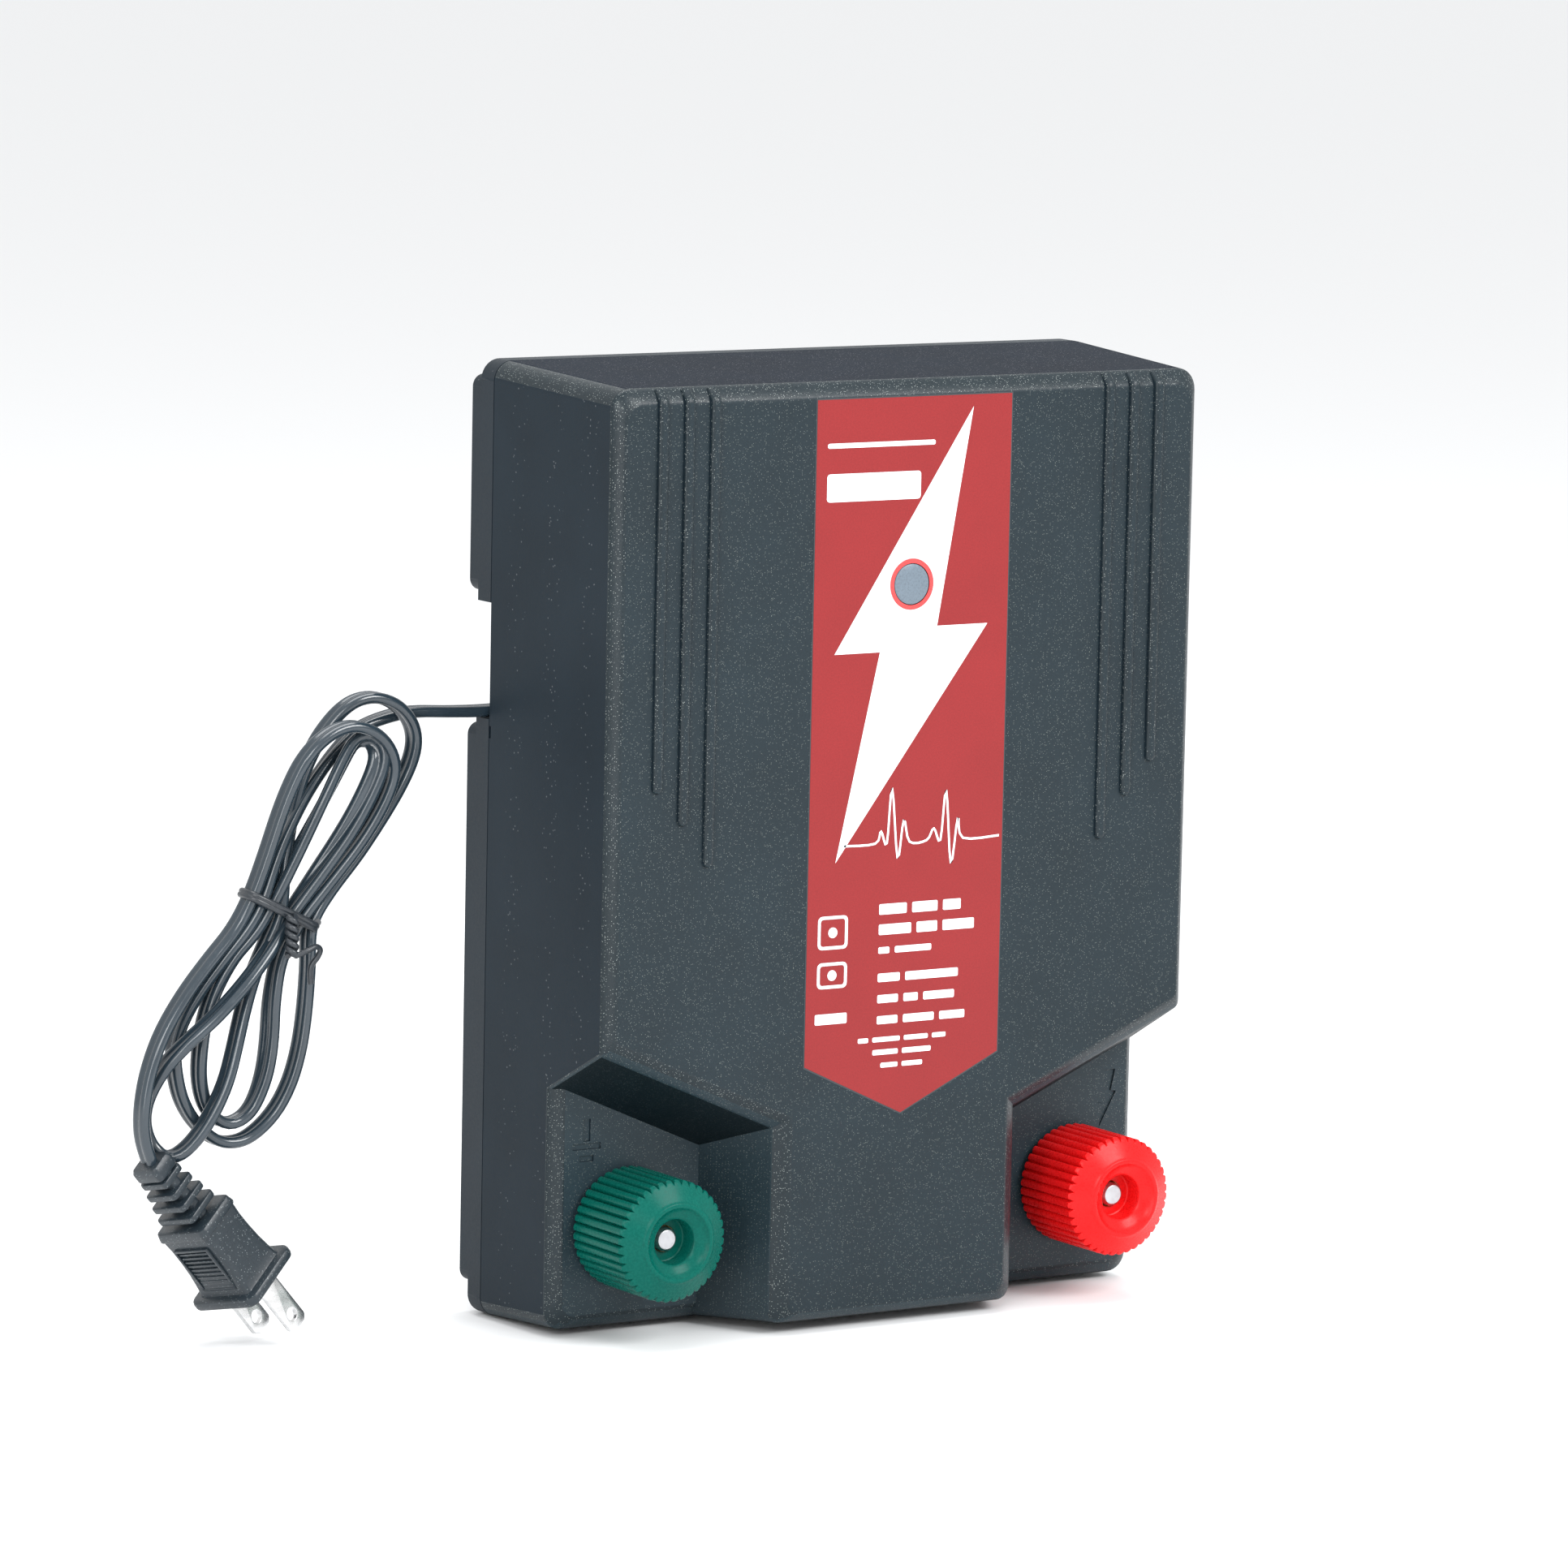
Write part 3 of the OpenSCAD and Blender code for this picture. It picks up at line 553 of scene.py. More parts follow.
def block_slice(d, t, side=0.0, top=0.0):
    """Section of the raised block, whose lower edge slopes to both sides."""
    half = half_at(d) - t - side
    lift = lift_at(d) + (t + side) * 1.09
    r, e = max(1.0, CORNER_R - t / 2), 1.6
    high = HEIGHT - d * DRAFT - t - top
    eave = lift + SLOPE * (half - e) + e * 1.09
    root = tongue_at(d) - t - 3
    pts = []
    for s in (-1, 1):
        pts += [(s * x, z) for x, z in arc(half - r, high - r, r, 0, 90)]
        pts += [(s * x, z) for x, z in arc(half - e, eave, e, -90 + 23.5, 0, 5)]
        pts.append((s * root, lift + SLOPE * root))
    return [at(x, d, z) for x, z in pts]


def tongue_slice(d, t, side=0.0):
    """Section of the tongue between the two terminal recesses."""
    return box_slice(d + 0.02, tongue_at(d) - t - side, d * DRAFT + t + side - 0.02, 60 - t, 3,
                     max(0.8, 3.5 - t / 2))


def case_solids(t, chamfered):
    """The foot, the raised block and the tongue, set in by t."""
    front, foot = FRONT - t, FOOT - t
    if not chamfered:
        return [hull("foot", foot_slice(-2, t) + foot_slice(foot, t)),
                hull("block", block_slice(20, t) + block_slice(front, t)),
                hull("tongue", tongue_slice(20, t) + tongue_slice(front, t))]
    feet = foot_slice(0, t, 0.25, 0.25) + foot_slice(0.3, t)
    proud = -0.02
    block, tongue = block_slice(1, proud), tongue_slice(20, t)
    for inset, drop in CHAMFER:
        feet += foot_slice(foot - 2.6 * drop, t, 2.4 * inset, 2.8 * inset)
        block += block_slice(front - 2.4 * drop, proud, 2.2 * inset, 3.1 * inset)
        tongue += tongue_slice(front - 2.4 * drop, t, 2.2 * inset)
    return [hull("foot", feet), hull("block", block), hull("tongue", tongue)]


def cut(obj, cutters):
    """Cuts other objects from obj, one at a time."""
    for c in cutters:
        m = obj.modifiers.new("cut", "BOOLEAN")
        m.operation = "DIFFERENCE"
        m.object = c
        m.solver = "EXACT"
        bake_modifiers(obj)
        bpy.data.objects.remove(c)
    return obj


def prism(name, outline, d0, d1, angle=35):
    """Upright prism between two depths from an outline of (x, z)."""
    n = len(outline)
    verts = [at(x, d0, z) for x, z in outline] + [at(x, d1, z) for x, z in outline]
    faces = [tuple(range(n)), tuple(range(2 * n - 1, n - 1, -1))]
    faces += [(i, (i + 1) % n, (i + 1) % n + n, i + n) for i in range(n)]
    return new_object(name, verts, faces, True, angle)


LABEL_HALF, LABEL_TOP, LABEL_SHOULDER, LABEL_TIP = 28.1, 228.2, 65.9, 52.7


def label_outline(grow=0.0):
    """Pointed outline of the label, grown on every side."""
    half = LABEL_HALF + grow
    top, shoulder, tip = LABEL_TOP + grow, LABEL_SHOULDER - grow, LABEL_TIP - 1.2 * grow
    return [(-half, top), (half, top), (half, shoulder), (0, tip), (-half, shoulder)]


EARTH_BARS = [((-77, 48), (2, 5.5)), ((-80, 46), (8, 1.5)), ((-78, 43), (4, 1.5))]
SPARK = [(75.9, 54), (79.2, 54), (78, 48.6), (79.6, 48.4), (74.6, 39.4), (75.6, 45.4), (74.1, 45.6)]


def build_front():
    """Foot, block and tongue as open shells that run into each other."""
    foot, block, tongue = case_solids(0, True)
    for shell in (foot, block, tongue):
        cut(shell, case_solids(SHELL_T, False))
    for shell in (block, tongue):
        cut(shell, [prism("c", label_outline(0.3), FRONT - 0.4, FRONT + 2)])
    cut(block, [prism("c", disc(0, WINDOW_Z, 5.15), FRONT - 4, FRONT + 2)])
    signs = [[(x, z), (x + w, z), (x + w, z + h), (x, z + h)] for (x, z), (w, h) in EARTH_BARS]
    for outline in [SPARK] + signs:
        cut(foot, [prism("c", outline, FOOT - 0.45, FOOT + 2)])
    cut(foot, [prism("c", disc(-87, 144.7, 1.5, 24), -4, 1.5)])
    for s in (1, -1):
        cut(foot, [prism("c", disc(s * TERMINAL_X, TERMINAL_Z, 3.05), FOOT - 5, FOOT + 2)])
    for shell in (foot, block, tongue):
        shade(shell, 24)
        w = shell.modifiers.new("normals", "WEIGHTED_NORMAL")
        w.keep_sharp = True
        bake_modifiers(shell)
    return [foot, block, tongue]


# Section of one rib: (across, height)
RIB = [(-1.4, -0.4), (-1.4, 0.4), (-1.25, 0.8), (-0.95, 1.08), (-0.5, 1.18), (0, 1.2),
       (0.5, 1.18), (0.95, 1.08), (1.25, 0.8), (1.4, 0.4), (1.4, -0.4)]


def build_rib(x, z0):
    """Rib that starts in a round end, runs up the front and over the top chamfer."""
    stations = []
    lean = math.atan2(1, 1)
    z_turn = HEIGHT - FRONT * DRAFT - 3.1
    for z in (z0 + 1.4, z_turn - 0.8):
        stations.append((z, FRONT, 0.0))
    for k in range(1, 5):
        a = lean * k / 4
        stations.append((z_turn - 0.8 + 1.1 * math.sin(a), FRONT - 0.4 * (1 - math.cos(a)), a))
    stations.append((z_turn + 2.3, FRONT - 2.35, lean))
    verts, faces, n = [], [], len(RIB)
    for z, d, a in stations:
        verts += [at(x + u, d + h * math.cos(a), z + h * math.sin(a)) for u, h in RIB]
    for i in range(len(stations) - 1):
        for s in range(n - 1):
            a = i * n + s
            faces.append((a, a + 1, a + 1 + n, a + n))
    last = (len(stations) - 1) * n
    faces.append(tuple(range(last, last + n)))
    half = RIB[n // 2:]
    fan = []
    for k in range(13):
        a = math.pi * k / 12
        fan.append(len(verts))
        verts += [at(x + u * math.cos(a), FRONT + h, z0 + 1.4 - u * math.sin(a)) for u, h in half]
    for f0, f1 in zip(fan, fan[1:]):
        for s in range(len(half) - 1):
            faces.append((f0 + s, f0 + s + 1, f1 + s + 1, f1 + s))
    return new_object("rib", verts, faces, True, 50)


def boss(x, z, r, d0, d1):
    """Screw post between two depths."""
    return prism("boss", disc(x, z, r, 32), d0, d1)


RIB_X, RIB_STEP = 57, 7.3
RIB_ENDS = (116.8, 127.2, 135.4)
COVER_POST_X, LOW_POST_Z, HIGH_POSTS_Z = 77, 14, (139, 222)
BOARD_POST_X, BOARD_POSTS_Z, BOARD_DEPTH = 58, (92, 214), 37.7


def ribs_and_posts():
    """The ribs on the front and the screw posts inside, on both sides."""
    parts = []
    for s in (-1, 1):
        for i, z in enumerate(RIB_ENDS):
            parts.append(build_rib(s * (RIB_X + RIB_STEP * i), z))
        parts.append(boss(s * COVER_POST_X, LOW_POST_Z, 4, 0.4, FOOT - 2))
        for z in HIGH_POSTS_Z:
            parts.append(boss(s * COVER_POST_X, z, 4, 0.4, FRONT - 2))
        for z in BOARD_POSTS_Z:
            parts.append(boss(s * BOARD_POST_X, z, 3.5, BOARD_DEPTH, FRONT - 2))
    return parts


def joined(name, parts):
    """Joins objects into one, keeping their shading and materials."""
    bm = bmesh.new()
    mats = []
    for p in parts:
        base = len(bm.faces)
        table = []
        for m in p.data.materials:
            if m not in mats:
                mats.append(m)
            table.append(mats.index(m))
        me = p.data.copy()
        me.transform(p.matrix_world)
        bm.from_mesh(me)
        bm.faces.ensure_lookup_table()
        for f in bm.faces[base:]:
            f.material_index = table[f.material_index] if table else 0
        bpy.data.meshes.remove(me)
    mesh = bpy.data.meshes.new(name)
    bm.to_mesh(mesh)
    bm.free()
    for p in parts:
        bpy.data.objects.remove(p)
    obj = bpy.data.objects.new(name, mesh)
    bpy.context.scene.collection.objects.link(obj)
    for m in mats:
        mesh.materials.append(m)
    return obj


# The plain housing plastic first, then its copies with painted shade (side, top, undersides) and painted
# light (edges, recess).
HOUSING_LIGHT_COPIES = ["housing", "housing_side_painted_shade", "housing_top_painted_shade", "housing_edge_painted_highlight", "housing_recess_painted_light", "housing_under_painted_shade"]
SQUARE_ON = 0.985  # a face whose normal has this much of one axis faces along it


def light_copy_for(normal, centre):
    """Name of the housing copy a front face gets by the way it faces: painted shade on the sides, top
    and undersides, painted light on the recess and edges.
    """
    if normal.y < -SQUARE_ON:
        in_recess = centre.y > (PART_Y - FOOT - 1) * MM
        return "housing_recess_painted_light" if in_recess else "housing"
    if abs(normal.x) > SQUARE_ON:
        return "housing_side_painted_shade"
    if normal.z > SQUARE_ON:
        return "housing_top_painted_shade"
    if normal.z < -0.78:
        return "housing_under_painted_shade"
    tongue_side = centre.z < 0.058 and 0.8 < abs(normal.x) < 0.95 and abs(centre.x) < 0.046
    if normal.z < -0.5 or tongue_side:
        return "housing_recess_painted_light"
    return "housing_edge_painted_highlight"


front = joined("case_front", build_front() + ribs_and_posts())
paint(front, *HOUSING_LIGHT_COPIES)
# Sets each face's copy by its normal, which puts painted light and shade on the housing.
for face in front.data.polygons:
    face.material_index = HOUSING_LIGHT_COPIES.index(light_copy_for(face.normal, face.center))
piece(front, "case", ["front_housing"], "housing")


# ---------------------------------------------------------------- copies of CAD nodes with rounded edges
BROAD_FACE = 30 * MM * MM


def eased(node, body, width, slot_name, mat=None, angle=28, segments=2, sharp=35):
    """A finely edged piece made from a CAD node's own mesh."""
    src = nodes[node]
    mesh = src.data.copy()
    mesh.transform(src.matrix_world)
    bm = bmesh.new()
    bm.from_mesh(mesh)
    bmesh.ops.remove_doubles(bm, verts=bm.verts, dist=2e-6)
    bmesh.ops.dissolve_limit(bm, angle_limit=math.radians(1.5), verts=bm.verts, edges=bm.edges)
    bmesh.ops.recalc_face_normals(bm, faces=bm.faces)
    bm.to_mesh(mesh)
    bm.free()
    obj = bpy.data.objects.new(node + "_eased", mesh)
    bpy.context.scene.collection.objects.link(obj)
    paint(obj, mat or slots[node])
    for p in mesh.polygons:
        p.material_index = 0
    bevelled(obj, width, segments, angle=angle)
    shade(obj, sharp)
    for p in obj.data.polygons:
        if p.area > BROAD_FACE:
            p.use_smooth = False
    piece(obj, body, [node], slot_name)
    return obj


eased("back_cover", "case", 0.7, "cover", "cover", 35)
gland = eased("cord_gland", "case", 0.5, "cord_moulding", "cord_moulding")
eased("earth_washer", frame_body("earth_washer"), 0.12, "steel")
eased("fence_washer", frame_body("fence_washer"), 0.12, "steel")

# ---------------------------------------------------------------- label
BOLT = [(16.9, 225.3), (7.6, 172.1), (22.3, 172.1), (-20.4, 115.5), (-8.8, 166.4), (-21.9, 166.4)]
PULSE = [(-18, 119.5), (-9, 119.6), (-7.4, 122.6), (-5.6, 119.4), (-4.4, 133), (-2.4, 115.6),
         (-0.8, 125), (1, 119.5), (6, 119.6), (8, 122.4), (10, 119.3), (11.4, 131.6), (13.2, 113.4),
         (15, 124.6), (16.6, 119.5), (27.2, 119.5)]
INK = FRONT + 0.14


def bar(x0, x1, z0, z1, r=0.35):
    """Rounded bar outline, as used for the plain print."""
    r = min(r, (x1 - x0) / 2.01, (z1 - z0) / 2.01)
    pts = []
    for cx, cz, a in ((x1 - r, z1 - r, 0), (x0 + r, z1 - r, 90), (x0 + r, z0 + r, 180),
                      (x1 - r, z0 + r, 270)):
        pts += arc(cx, cz, r, a, a + 90, 3)
    return pts


def ink(outline, mat, top=INK):
    """Thin printed shape on the label."""
    obj = prism("ink", outline, FRONT + 0.02, top, 60)
    paint(obj, mat)
    return obj


def stroke(points, width):
    """Left and right side of a line of that width."""
    left, right_side = [], []
    for i, p in enumerate(points):
        a, b = Vector(points[max(i - 1, 0)]), Vector(points[min(i + 1, len(points) - 1)])
        t = (b - a).normalized()
        n = Vector((-t.y, t.x)) * width / 2
        left.append((p[0] + n.x, p[1] + n.y))
        right_side.append((p[0] - n.x, p[1] - n.y))
    return left, right_side


def build_label():
    """Label sheet with a slightly larger dark sheet round it as painted shadow of its gap, bolt, window
    ring, pulse line and plain print.
    """
    sheet = prism("label", label_outline(0), FRONT - 0.1, FRONT + 0.1)
    paint(sheet, "label")
    # Dark sheet a little larger than the label, showing round its edge: painted shadow of the gap.
    gap_shadow = prism("gap_shadow", label_outline(0.3), FRONT - 0.1, FRONT + 0.04)
    paint(gap_shadow, "label_gap_shadow")
    for layer in (sheet, gap_shadow):
        cut(layer, [prism("c", disc(0, WINDOW_Z, 5.1), FRONT - 3, FRONT + 3)])
        layer.data.shade_flat()
    bolt = ink(BOLT, "print_white")
    cut(bolt, [prism("c", disc(0, WINDOW_Z, 6.2), FRONT - 3, FRONT + 3)])
    parts = [sheet, gap_shadow, bolt]
    outer, inner = disc(0, WINDOW_Z, 6.25, 64), disc(0, WINDOW_Z, 5.15, 64)
    verts = [at(x, FRONT + 0.02, z) for x, z in outer] + [at(x, INK + 0.03, z) for x, z in outer]
    verts += [at(x, INK + 0.03, z) for x, z in inner] + [at(x, FRONT + 0.02, z) for x, z in inner]
    faces = []
    for i in range(64):
        j = (i + 1) % 64
        for k in range(4):
            m = (k + 1) % 4
            faces.append((k * 64 + i, k * 64 + j, m * 64 + j, m * 64 + i))
    ring = new_object("ring", verts, faces, True, 40)
    paint(ring, "ring_red")
    parts.append(ring)
    faint = ink(disc(0, 154, 5), "print_faint", INK + 0.02)
    parts.append(faint)
    dense_pulse = [(p.x, p.y) for p in catmull([(x, z, 0) for x, z in PULSE], 4)]
    left, right_side = stroke(dense_pulse, 0.55)
    for i in range(len(left) - 1):
        parts.append(ink([left[i], left[i + 1], right_side[i + 1], right_side[i]], "print_white"))
    for words, z, h in (((8, 7.4, 5.2), 102, 2.6), ((9.4, 6, 9.2), 97, 2.6), ((3.2, 10.6), 92.4, 1.6),
                        ((6.4, 15.4), 85.4, 2.1), ((6, 4.2, 9), 80.2, 2), ((6, 9, 7.4), 75, 2)):
        x = -7.4
        for w in words:
            parts.append(ink(bar(x, x + w, z, z + h), "print_white"))
            x += w + 1.6
    for words, z, h in (((3, 8, 7, 4), 70.6, 1.2), ((7.4, 8.4), 67.4, 1.3), ((5, 6), 64.2, 1.2)):
        x = -(sum(words) + 1.2 * (len(words) - 1)) / 2
        for w in words:
            parts.append(ink(bar(x, x + w, z, z + h), "print_white"))
            x += w + 1.2
    for z0, z1 in ((94.4, 102.6), (84.8, 91.2)):
        plate = ink(bar(-25, -16.4, z0, z1, 1.2), "print_white")
        cut(plate, [prism("c", bar(-24.2, -17.2, z0 + 0.8, z1 - 0.8, 0.7), FRONT - 3, FRONT + 3)])
        parts.append(plate)
        parts.append(ink(disc(-20.7, (z0 + z1) / 2, 1.3, 24), "print_white"))
    parts.append(ink(bar(-25.4, -16.2, 76, 78.6), "print_white"))
    parts.append(ink(bar(-25, 2, 203.4, 210.2, 0.8), "print_white"))
    parts.append(ink(bar(-25, 6, 216.4, 217.6, 0.5), "print_white"))
    return joined("label_artwork", parts)


piece(build_label(), "case", ["label_panel"], "label")


def lathe(name, profile, cx, cz, steps=96, radius=None, angle=30):
    """Turns a profile of (radius, depth) about a line through (cx, cz) along Y."""
    verts, faces = [], []
    for r, d in profile:
        for k in range(steps):
            a = 2 * math.pi * k / steps
            rr = radius(r, d, k) if radius else r
            verts.append(at(cx + rr * math.cos(a), d, cz + rr * math.sin(a)))
    for i in range(len(profile) - 1):
        for k in range(steps):
            j = (k + 1) % steps
            faces.append((i * steps + k, i * steps + j, (i + 1) * steps + j, (i + 1) * steps + k))
    return new_object(name, verts, faces, True, angle)


# ---------------------------------------------------------------- indicator window
WINDOW_PROFILE = [(0.01, 53.55), (2, 53.53), (3.6, 53.42), (4.6, 53.24), (4.9, 53.1), (5, 52.9),
                  (5, 50.5), (6.8, 50.5), (6.8, 49), (6.5, 48.9), (0.01, 48.9)]
lens = lathe("indicator_window", WINDOW_PROFILE, 0, WINDOW_Z, 64)
piece(lens, "case", ["indicator_lens"], "lens", "lens")

# ---------------------------------------------------------------- knobs
TEETH, PER_TOOTH = 40, 10
KNOB_BACK = 31.9


def tooth_radius(r, d, k):
    """Radius with V shaped grooves, which fade out where the front cone is smaller."""
    if r < 13.8:
        return r
    u = abs((k % PER_TOOTH) / PER_TOOTH - 0.5) * 2
    depth = 1.15 * max(0.0, 1 - abs(1 - u) * 2.1) if u > 0.5 else 0.0
    crest = 0.1 * (1 - min(1, u * 2)) ** 2
    return min(r, 15 - depth - (0.06 - crest) * (1 if depth == 0 else 0))


def build_knob(name, side):
    """Fluted hand knob with a dished front and a stepped bore."""
    b = KNOB_BACK
    profile = [(3.5, b), (13.9, b), (14.4, b + 0.1), (15, b + 0.6), (15, b + 4), (15, b + 11),
               (15, b + 18), (15, b + 21.4)]
    for k in range(1, 13):
        t = k / 12
        r = 15 - (15 - 9.95) * t
        profile.append((r, b + 21.6 + 3.2 * t))
    profile += [(9.8, b + 24.98), (9.6, b + 25.1), (9.3, b + 25.15), (9.0, b + 25.15),
                (8.75, b + 25.08), (8.55, b + 24.9), (8.35, b + 24.6), (7.4, b + 23.95),
                (6.4, b + 23.35), (5.9, b + 23.1), (5.62, b + 22.8), (5.52, b + 22.3), (5.5, b + 18.1),
                (5.2, b + 17.9), (3.4, b + 17.85), (3.3, b + 17.7), (5.5, b + 17.68),
                (5.5, b + 1), (3.5, b + 1), (3.5, b)]
    return lathe(name, profile, side * TERMINAL_X, TERMINAL_Z, TEETH * PER_TOOTH, tooth_radius, 24)


def build_insert(name, side):
    """Brass insert inside a knob."""
    profile = [(3.03, 33), (5.48, 33), (5.48, 49.2), (5.3, 49.45), (3.6, 49.5), (3.2, 49.3),
               (3.03, 49), (3.03, 33)]
    return lathe(name, profile, side * TERMINAL_X, TERMINAL_Z, 64)


def build_stud(name, side):
    """Terminal stud with turned thread rings and a hexagon head."""
    rings = [(2.95 - 0.32 * (k % 2), 50.7 - 0.5 * k) for k in range(36)]
    profile = ([(0.01, 51.5), (2.2, 51.5), (2.42, 51.42), (2.8, 50.9)] + rings
               + [(2.95, 32.4), (2.95, 26), (0.01, 26)])
    shank = lathe(name, profile, side * TERMINAL_X, TERMINAL_Z, 48, None, 20)
    head = prism("head", disc(side * TERMINAL_X, TERMINAL_Z, 5.5, 6), 23.75, 27.65)
    return joined(name, [shank, head])


for side, key, tint in ((-1, "earth", "knob_green"), (1, "fence", "knob_red")):
    knob = build_knob(key + "_knob_turned", side)
    piece(knob, frame_body(key + "_knob"), [key + "_knob"], tint, tint)
    insert = build_insert(key + "_insert_turned", side)
    piece(insert, frame_body(key + "_knob_insert"), [key + "_knob_insert"], "brass", "brass")
    stud = build_stud(key + "_stud_turned", side)
    piece(stud, frame_body(key + "_stud"), [key + "_stud"], "steel", "steel")

# ---------------------------------------------------------------- plug
PLUG_AT = Vector((-154, 21, 15.4)) * MM
PLUG_LEAN, PLUG_TURN = math.radians(-40), math.radians(18)
plug_frame = (Matrix.Translation(PLUG_AT) @ Matrix.Rotation(PLUG_LEAN, 4, "Y")
              @ Matrix.Rotation(PLUG_TURN, 4, "Z"))


def rounded_section(hx, hy, r, steps=5):
    """Corner points of a rounded rectangle about the origin."""
    pts = []
    for sx, sy, a in ((1, 1, 0), (-1, 1, 90), (-1, -1, 180), (1, -1, 270)):
        for k in range(steps + 1):
            b = math.radians(a + 90 * k / steps)
            pts.append((sx * (hx - r) + r * math.cos(b), sy * (hy - r) + r * math.sin(b)))
    return pts


def loft(name, sections, to_world, angle=35, dish=0.0):
    """Skins sections of (half x, half y, corner radius, z); dish hollows the +X face."""
    verts, faces = [], []
    n = len(rounded_section(1, 1, 0.1))
    for hx, hy, r, z in sections:
        for x, y in rounded_section(hx, hy, r):
            if dish and x > hx - 0.2:
                x -= dish * max(0, 1 - (y / (hy - 1)) ** 2)
            verts.append(to_world @ (Vector((x, y, z)) * MM))
    for i in range(len(sections) - 1):
        for s in range(n):
            a, b = i * n + s, i * n + (s + 1) % n
            faces.append((a, b, b + n, a + n))
    faces.append(tuple(range(n - 1, -1, -1)))
    faces.append(tuple(range(len(verts) - n, len(verts))))
    return new_object(name, verts, faces, True, angle)


def eased_loft(name, hx, hy, r, z0, z1, e, taper=0.0):
    """Block with eased ends."""
    ease = [(0, e), (0.3 * e, 0.3 * e), (e, 0)]
    low = [(hx - off, hy - off, max(0.2, r - off), z0 + lift) for lift, off in ease]
    high = [(hx - taper - off, hy - taper - off, max(0.2, r - off), z1 - lift)
            for lift, off in reversed(ease)]
    return loft(name, low + high, plug_frame)


def small_block(place, size, ease):
    """Little block with eased edges."""
    nb = bmesh.new()
    bmesh.ops.create_cube(nb, size=1, matrix=place @ Matrix.Diagonal((*(v * MM for v in size), 1)))
    bmesh.ops.bevel(nb, geom=list(nb.edges), offset=ease * MM, segments=2, affect="EDGES",
                    profile=0.5)
    return from_bmesh("block", nb)


def build_plug_body():
    """Flange, waisted grip with ribbed side panels, and shoulder."""
    flange = eased_loft("flange", 9.6, 11.2, 2.8, 0, 2.6, 0.7)
    body = loft("body", [(7.5, 9, 1.2, 2.1), (7.15, 8.7, 1.4, 3), (6.85, 8.5, 1.5, 5.5),
                         (6.5, 8.35, 1.6, 9), (6.3, 8.25, 1.6, 13), (6.3, 8.2, 1.6, 17),
                         (6.5, 8.2, 1.5, 19.6), (6.4, 8.1, 1.4, 20.4), (5.9, 7.7, 1.2, 20.7)],
                plug_frame, 40)
    shoulder = eased_loft("shoulder", 6.9, 8.7, 1.6, 20.3, 23, 0.5, 0.3)
    parts = [flange, body, shoulder]
    for sx in (-1, 1):
        panel = Matrix.Translation(Vector((sx * 6.62, 0, 11)) * MM)
        frame_bars = [((0, -5.6, 0), (0.9, 0.7, 13)), ((0, 5.6, 0), (0.9, 0.7, 13)),
                      ((0, 0, -6.4), (0.9, 11.8, 0.7)), ((0, 0, 6.4), (0.9, 11.8, 0.7))]
        rows = [((-0.12 * sx, 0, -5.2 + 1.3 * i), (0.7, 10, 0.6)) for i in range(9)]
        for where, size in frame_bars + rows:
            parts.append(small_block(plug_frame @ panel @ Matrix.Translation(Vector(where) * MM),
                                     size, 0.14))
    return joined("plug_moulding", parts)


plug_moulding = build_plug_body()
piece(plug_moulding, "case", ["plug_body"], "cord_moulding", "cord_moulding")


def build_relief():
    """Finned strain relief between the grip and the cord."""
    parts = [loft("spine", [(1.7, 4.6, 1.1, 22.8), (1.6, 4.2, 1, 32), (1.5, 3.6, 1, 38)],
                  plug_frame, 40)]
    for i in range(4):
        g = 1 - 0.09 * i
        z = 24.6 + 3.5 * i
        parts.append(eased_loft("fin", 5.2 * g, 6.3 * g, 1.3, z, z + 1.7, 0.3))
    parts.append(loft("head", [(3.4, 4.1, 1, 37.2), (3.7, 4.4, 1.2, 37.8), (3.7, 4.4, 1.3, 40.2),
                               (3.3, 4.0, 1.3, 41)], plug_frame, 40))
    return joined("plug_relief", parts)


plug_relief = build_relief()
piece(plug_relief, "case", ["plug_strain_relief"], "cord_moulding", "cord_moulding")


def build_blades():
    """Two flat blades with pointed ends and a hole each."""
    parts = []
    for s in (-1, 1):
        outline = [(-3.175, 1.5), (-3.175, -14), (-3.0, -14.6), (-1.9, -15.6), (1.9, -15.6),
                   (3.0, -14.6), (3.175, -14), (3.175, 1.5)]
        n = len(outline)
        verts = [plug_frame @ (Vector((x, s * 6.35 - 0.75, z)) * MM) for x, z in outline]
        verts += [plug_frame @ (Vector((x, s * 6.35 + 0.75, z)) * MM) for x, z in outline]
        faces = [tuple(range(n)), tuple(range(2 * n - 1, n - 1, -1))]
        faces += [(i, (i + 1) % n, (i + 1) % n + n, i + n) for i in range(n)]
        blade = new_object("blade", verts, faces, True, 30)
        nb = bmesh.new()
        bmesh.ops.create_cone(nb, cap_ends=True, segments=40, radius1=1.6 * MM, radius2=1.6 * MM,
                              depth=4 * MM, matrix=plug_frame
                              @ Matrix.Translation(Vector((0, s * 6.35, -11.7)) * MM)
                              @ Matrix.Rotation(math.pi / 2, 4, "X"))
        drill = bpy.data.meshes.new("drill")
        nb.to_mesh(drill)
        nb.free()
        tool = bpy.data.objects.new("drill", drill)
        bpy.context.scene.collection.objects.link(tool)
        cut(blade, [tool])
        bevelled(blade, 0.18, 2, angle=30)
        shade(blade, 30)
        parts.append(blade)
    return joined("plug_blades_cut", parts)


blades = build_blades()
piece(blades, "case", ["plug_blades"], "blade", "blade")

# ---------------------------------------------------------------- wire tie
TIE_R = 0.8
across_dir = Vector((0.9, 0, -0.435)).normalized()
along_dir = Vector((-0.435, 0, -0.9)).normalized()
tie_mid = Vector((-144.5, 23.5, 105))


def round_section(r, n=12):
    """Circle section for a wire."""
    return [(r * math.cos(2 * math.pi * k / n), r * math.sin(2 * math.pi * k / n)) for k in range(n)]


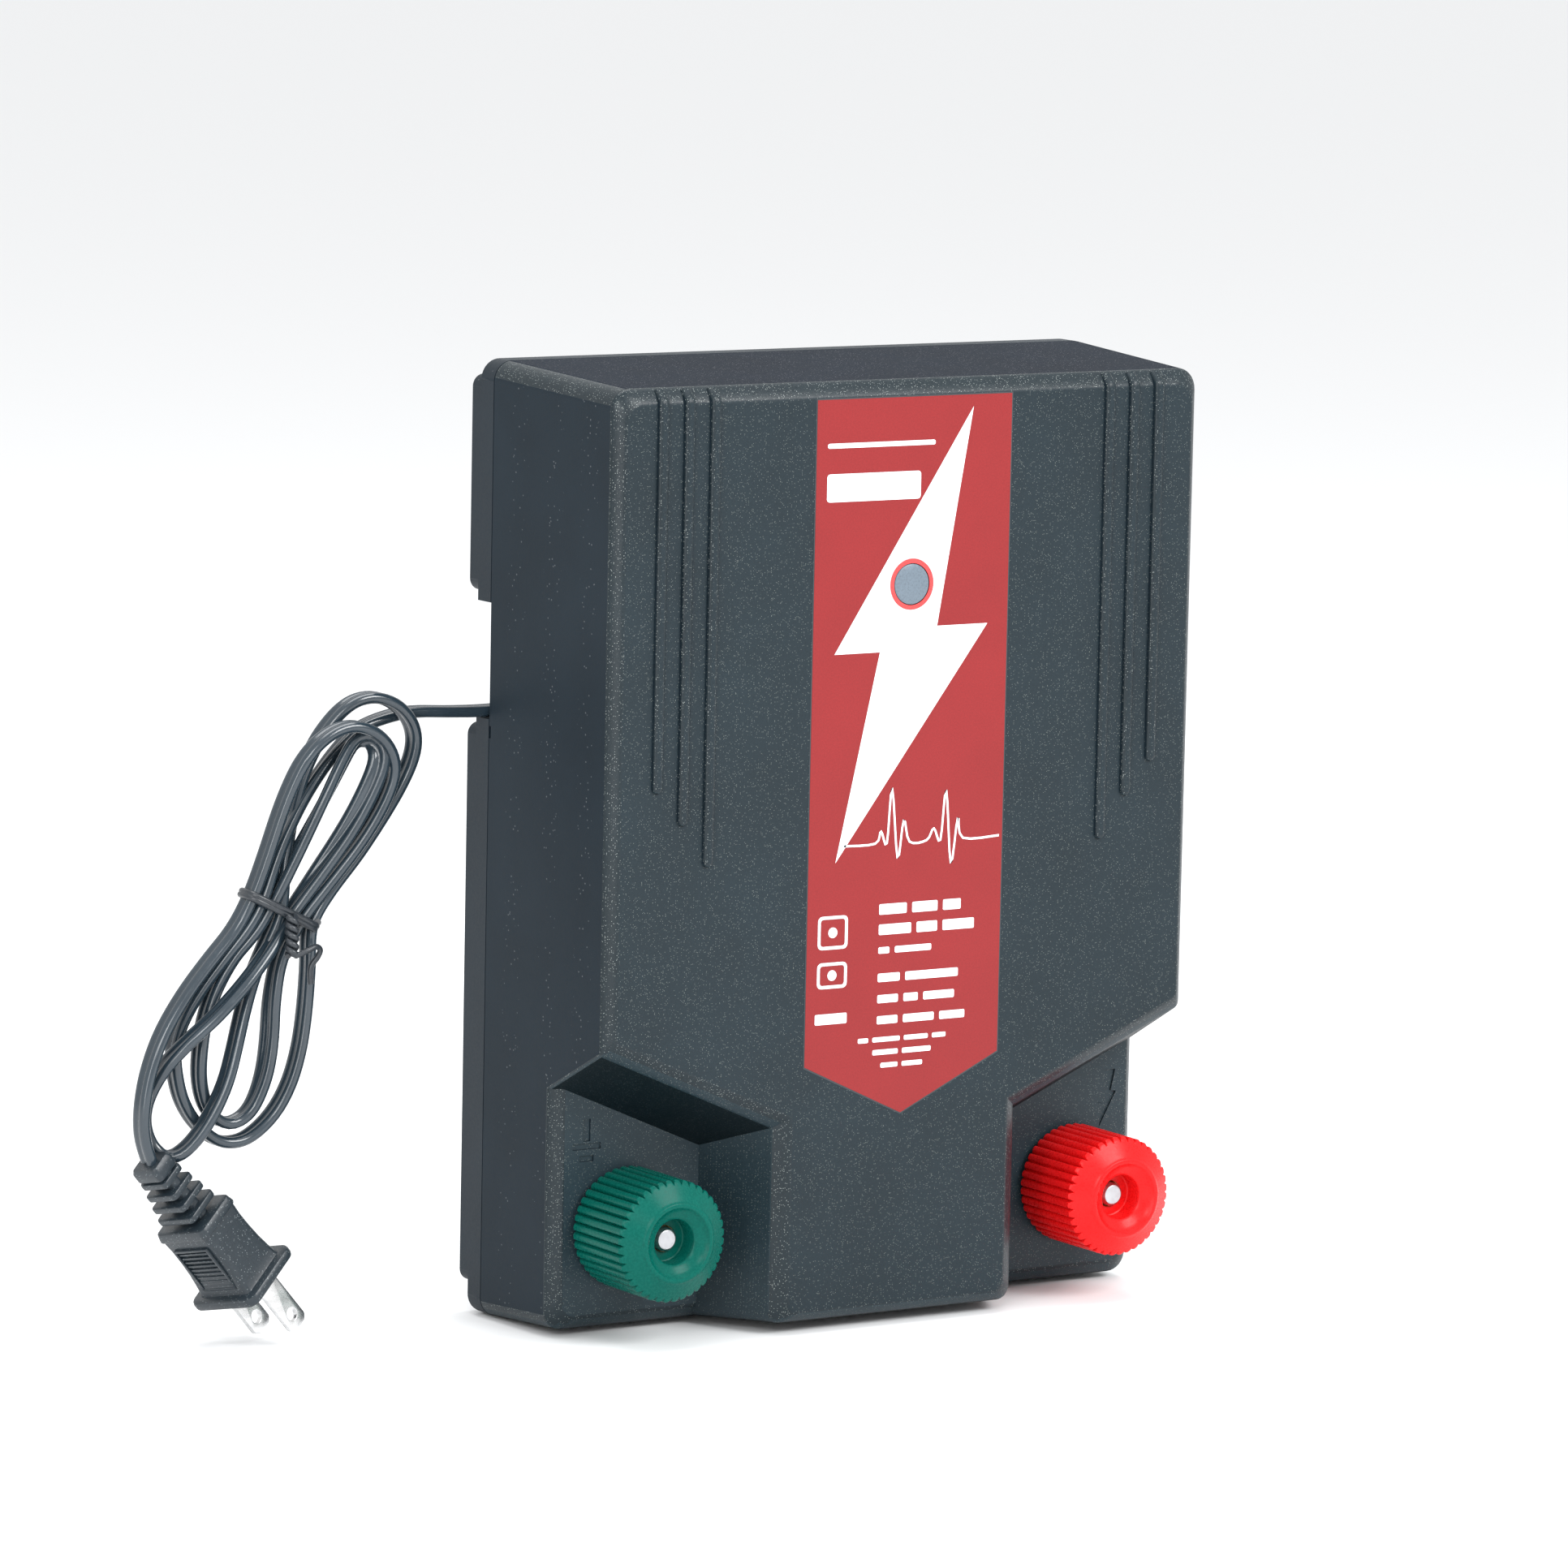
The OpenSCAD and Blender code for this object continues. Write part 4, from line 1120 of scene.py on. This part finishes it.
def build_tie():
    """Wire tie: loop round the hank, twisted pair and a bent end."""
    loop = []
    half, deep = 9.6, 4.4
    for k in range(97):
        a = 2 * math.pi * k / 48 - 0.6
        bulge = abs(math.cos(a)) ** 0.6
        p = (tie_mid + across_dir * math.copysign(half * bulge, math.cos(a)) * 1.09
             + Vector((0, 1, 0)) * math.copysign(deep * abs(math.sin(a)) ** 0.5, math.sin(a))
             + along_dir * (1.9 * k / 96 - 0.9))
        loop.append(p * MM)
    parts = [sweep("loop", softened(loop, 3), round_section(TIE_R), ref=Vector((0.1, 1, 0.2)),
                   angle=80)]
    for phase in (0, math.pi):
        twist = []
        for k in range(31):
            t = k / 30
            a = phase + t * 5 * math.pi
            mid = Vector((-144.2 - 0.6 * t, 17.6 - 1.2 * t, 104 - 9.4 * t))
            twist.append((mid + Vector((math.cos(a), math.sin(a), 0)) * 1.05) * MM)
        parts.append(sweep("twist", twist, round_section(TIE_R * 0.95), ref=Vector((0.3, 1, 0)),
                           angle=80))
    hook = [(-145.4, 16, 95.4), (-143.6, 15.4, 95), (-141, 15.2, 96), (-138.6, 15.6, 96.6),
            (-137.2, 16.2, 95.6), (-137.6, 16.8, 93.8), (-139, 17, 92), (-139.4, 17, 90),
            (-139.2, 17, 87.4)]
    parts.append(sweep("hook", catmull([Vector(p) * MM for p in hook], 5), round_section(TIE_R * 0.9),
                       angle=80))
    return joined("wire_tie", parts)


tie = build_tie()
piece(tie, "case", ["cord_tie"], "tie", "tie")

# ---------------------------------------------------------------- stage and light
FLOOR_HALF, FLOOR_Z = 30, -0.0002
floor_mesh = bpy.data.meshes.new("floor")
floor_corners = [(-1, -1), (1, -1), (1, 1), (-1, 1)]
floor_mesh.from_pydata([(x * FLOOR_HALF, y * FLOOR_HALF, FLOOR_Z) for x, y in floor_corners], [],
                       [(0, 1, 2, 3)])
floor = bpy.data.objects.new("floor", floor_mesh)
bpy.context.scene.collection.objects.link(floor)
floor_material, _, floor_shader, _ = material("floor")
floor_shader.inputs["Base Color"].default_value = (0.86, 0.87, 0.88, 1)
floor_shader.inputs["Roughness"].default_value = 0.9
floor.data.materials.append(floor_material)

world = bpy.data.worlds.new("studio")
bpy.context.scene.world = world
world.use_nodes = True
world.node_tree.nodes["Background"].inputs["Color"].default_value = (1, 1, 1, 1)
world.node_tree.nodes["Background"].inputs["Strength"].default_value = 1.0


def area(name, where, aim, size, power, tint=(1, 1, 1)):
    """Rectangular light aimed at a point."""
    data = bpy.data.lights.new(name, "AREA")
    data.shape = "RECTANGLE"
    data.size, data.size_y = size
    data.energy = power
    data.color = tint
    obj = bpy.data.objects.new(name, data)
    bpy.context.scene.collection.objects.link(obj)
    obj.location = where
    obj.rotation_mode = "QUATERNION"
    obj.rotation_quaternion = (Vector(aim) - Vector(where)).to_track_quat("-Z", "Y")
    return obj


area("key", (0.55, -1.3, 1.15), (0, 0, 0.12), (0.9, 0.7), 22)
area("fill", (-0.9, -1.2, 0.9), (0, 0, 0.12), (0.5, 0.5), 6)
area("top", (0.0, 0.1, 1.5), (0, 0, 0.1), (1.2, 0.8), 14)
area("edge", (-1.05, -0.7, 0.32), (-0.05, 0, 0.12), (0.22, 0.9), 4)
bpy.context.scene.view_settings.view_transform = "Standard"
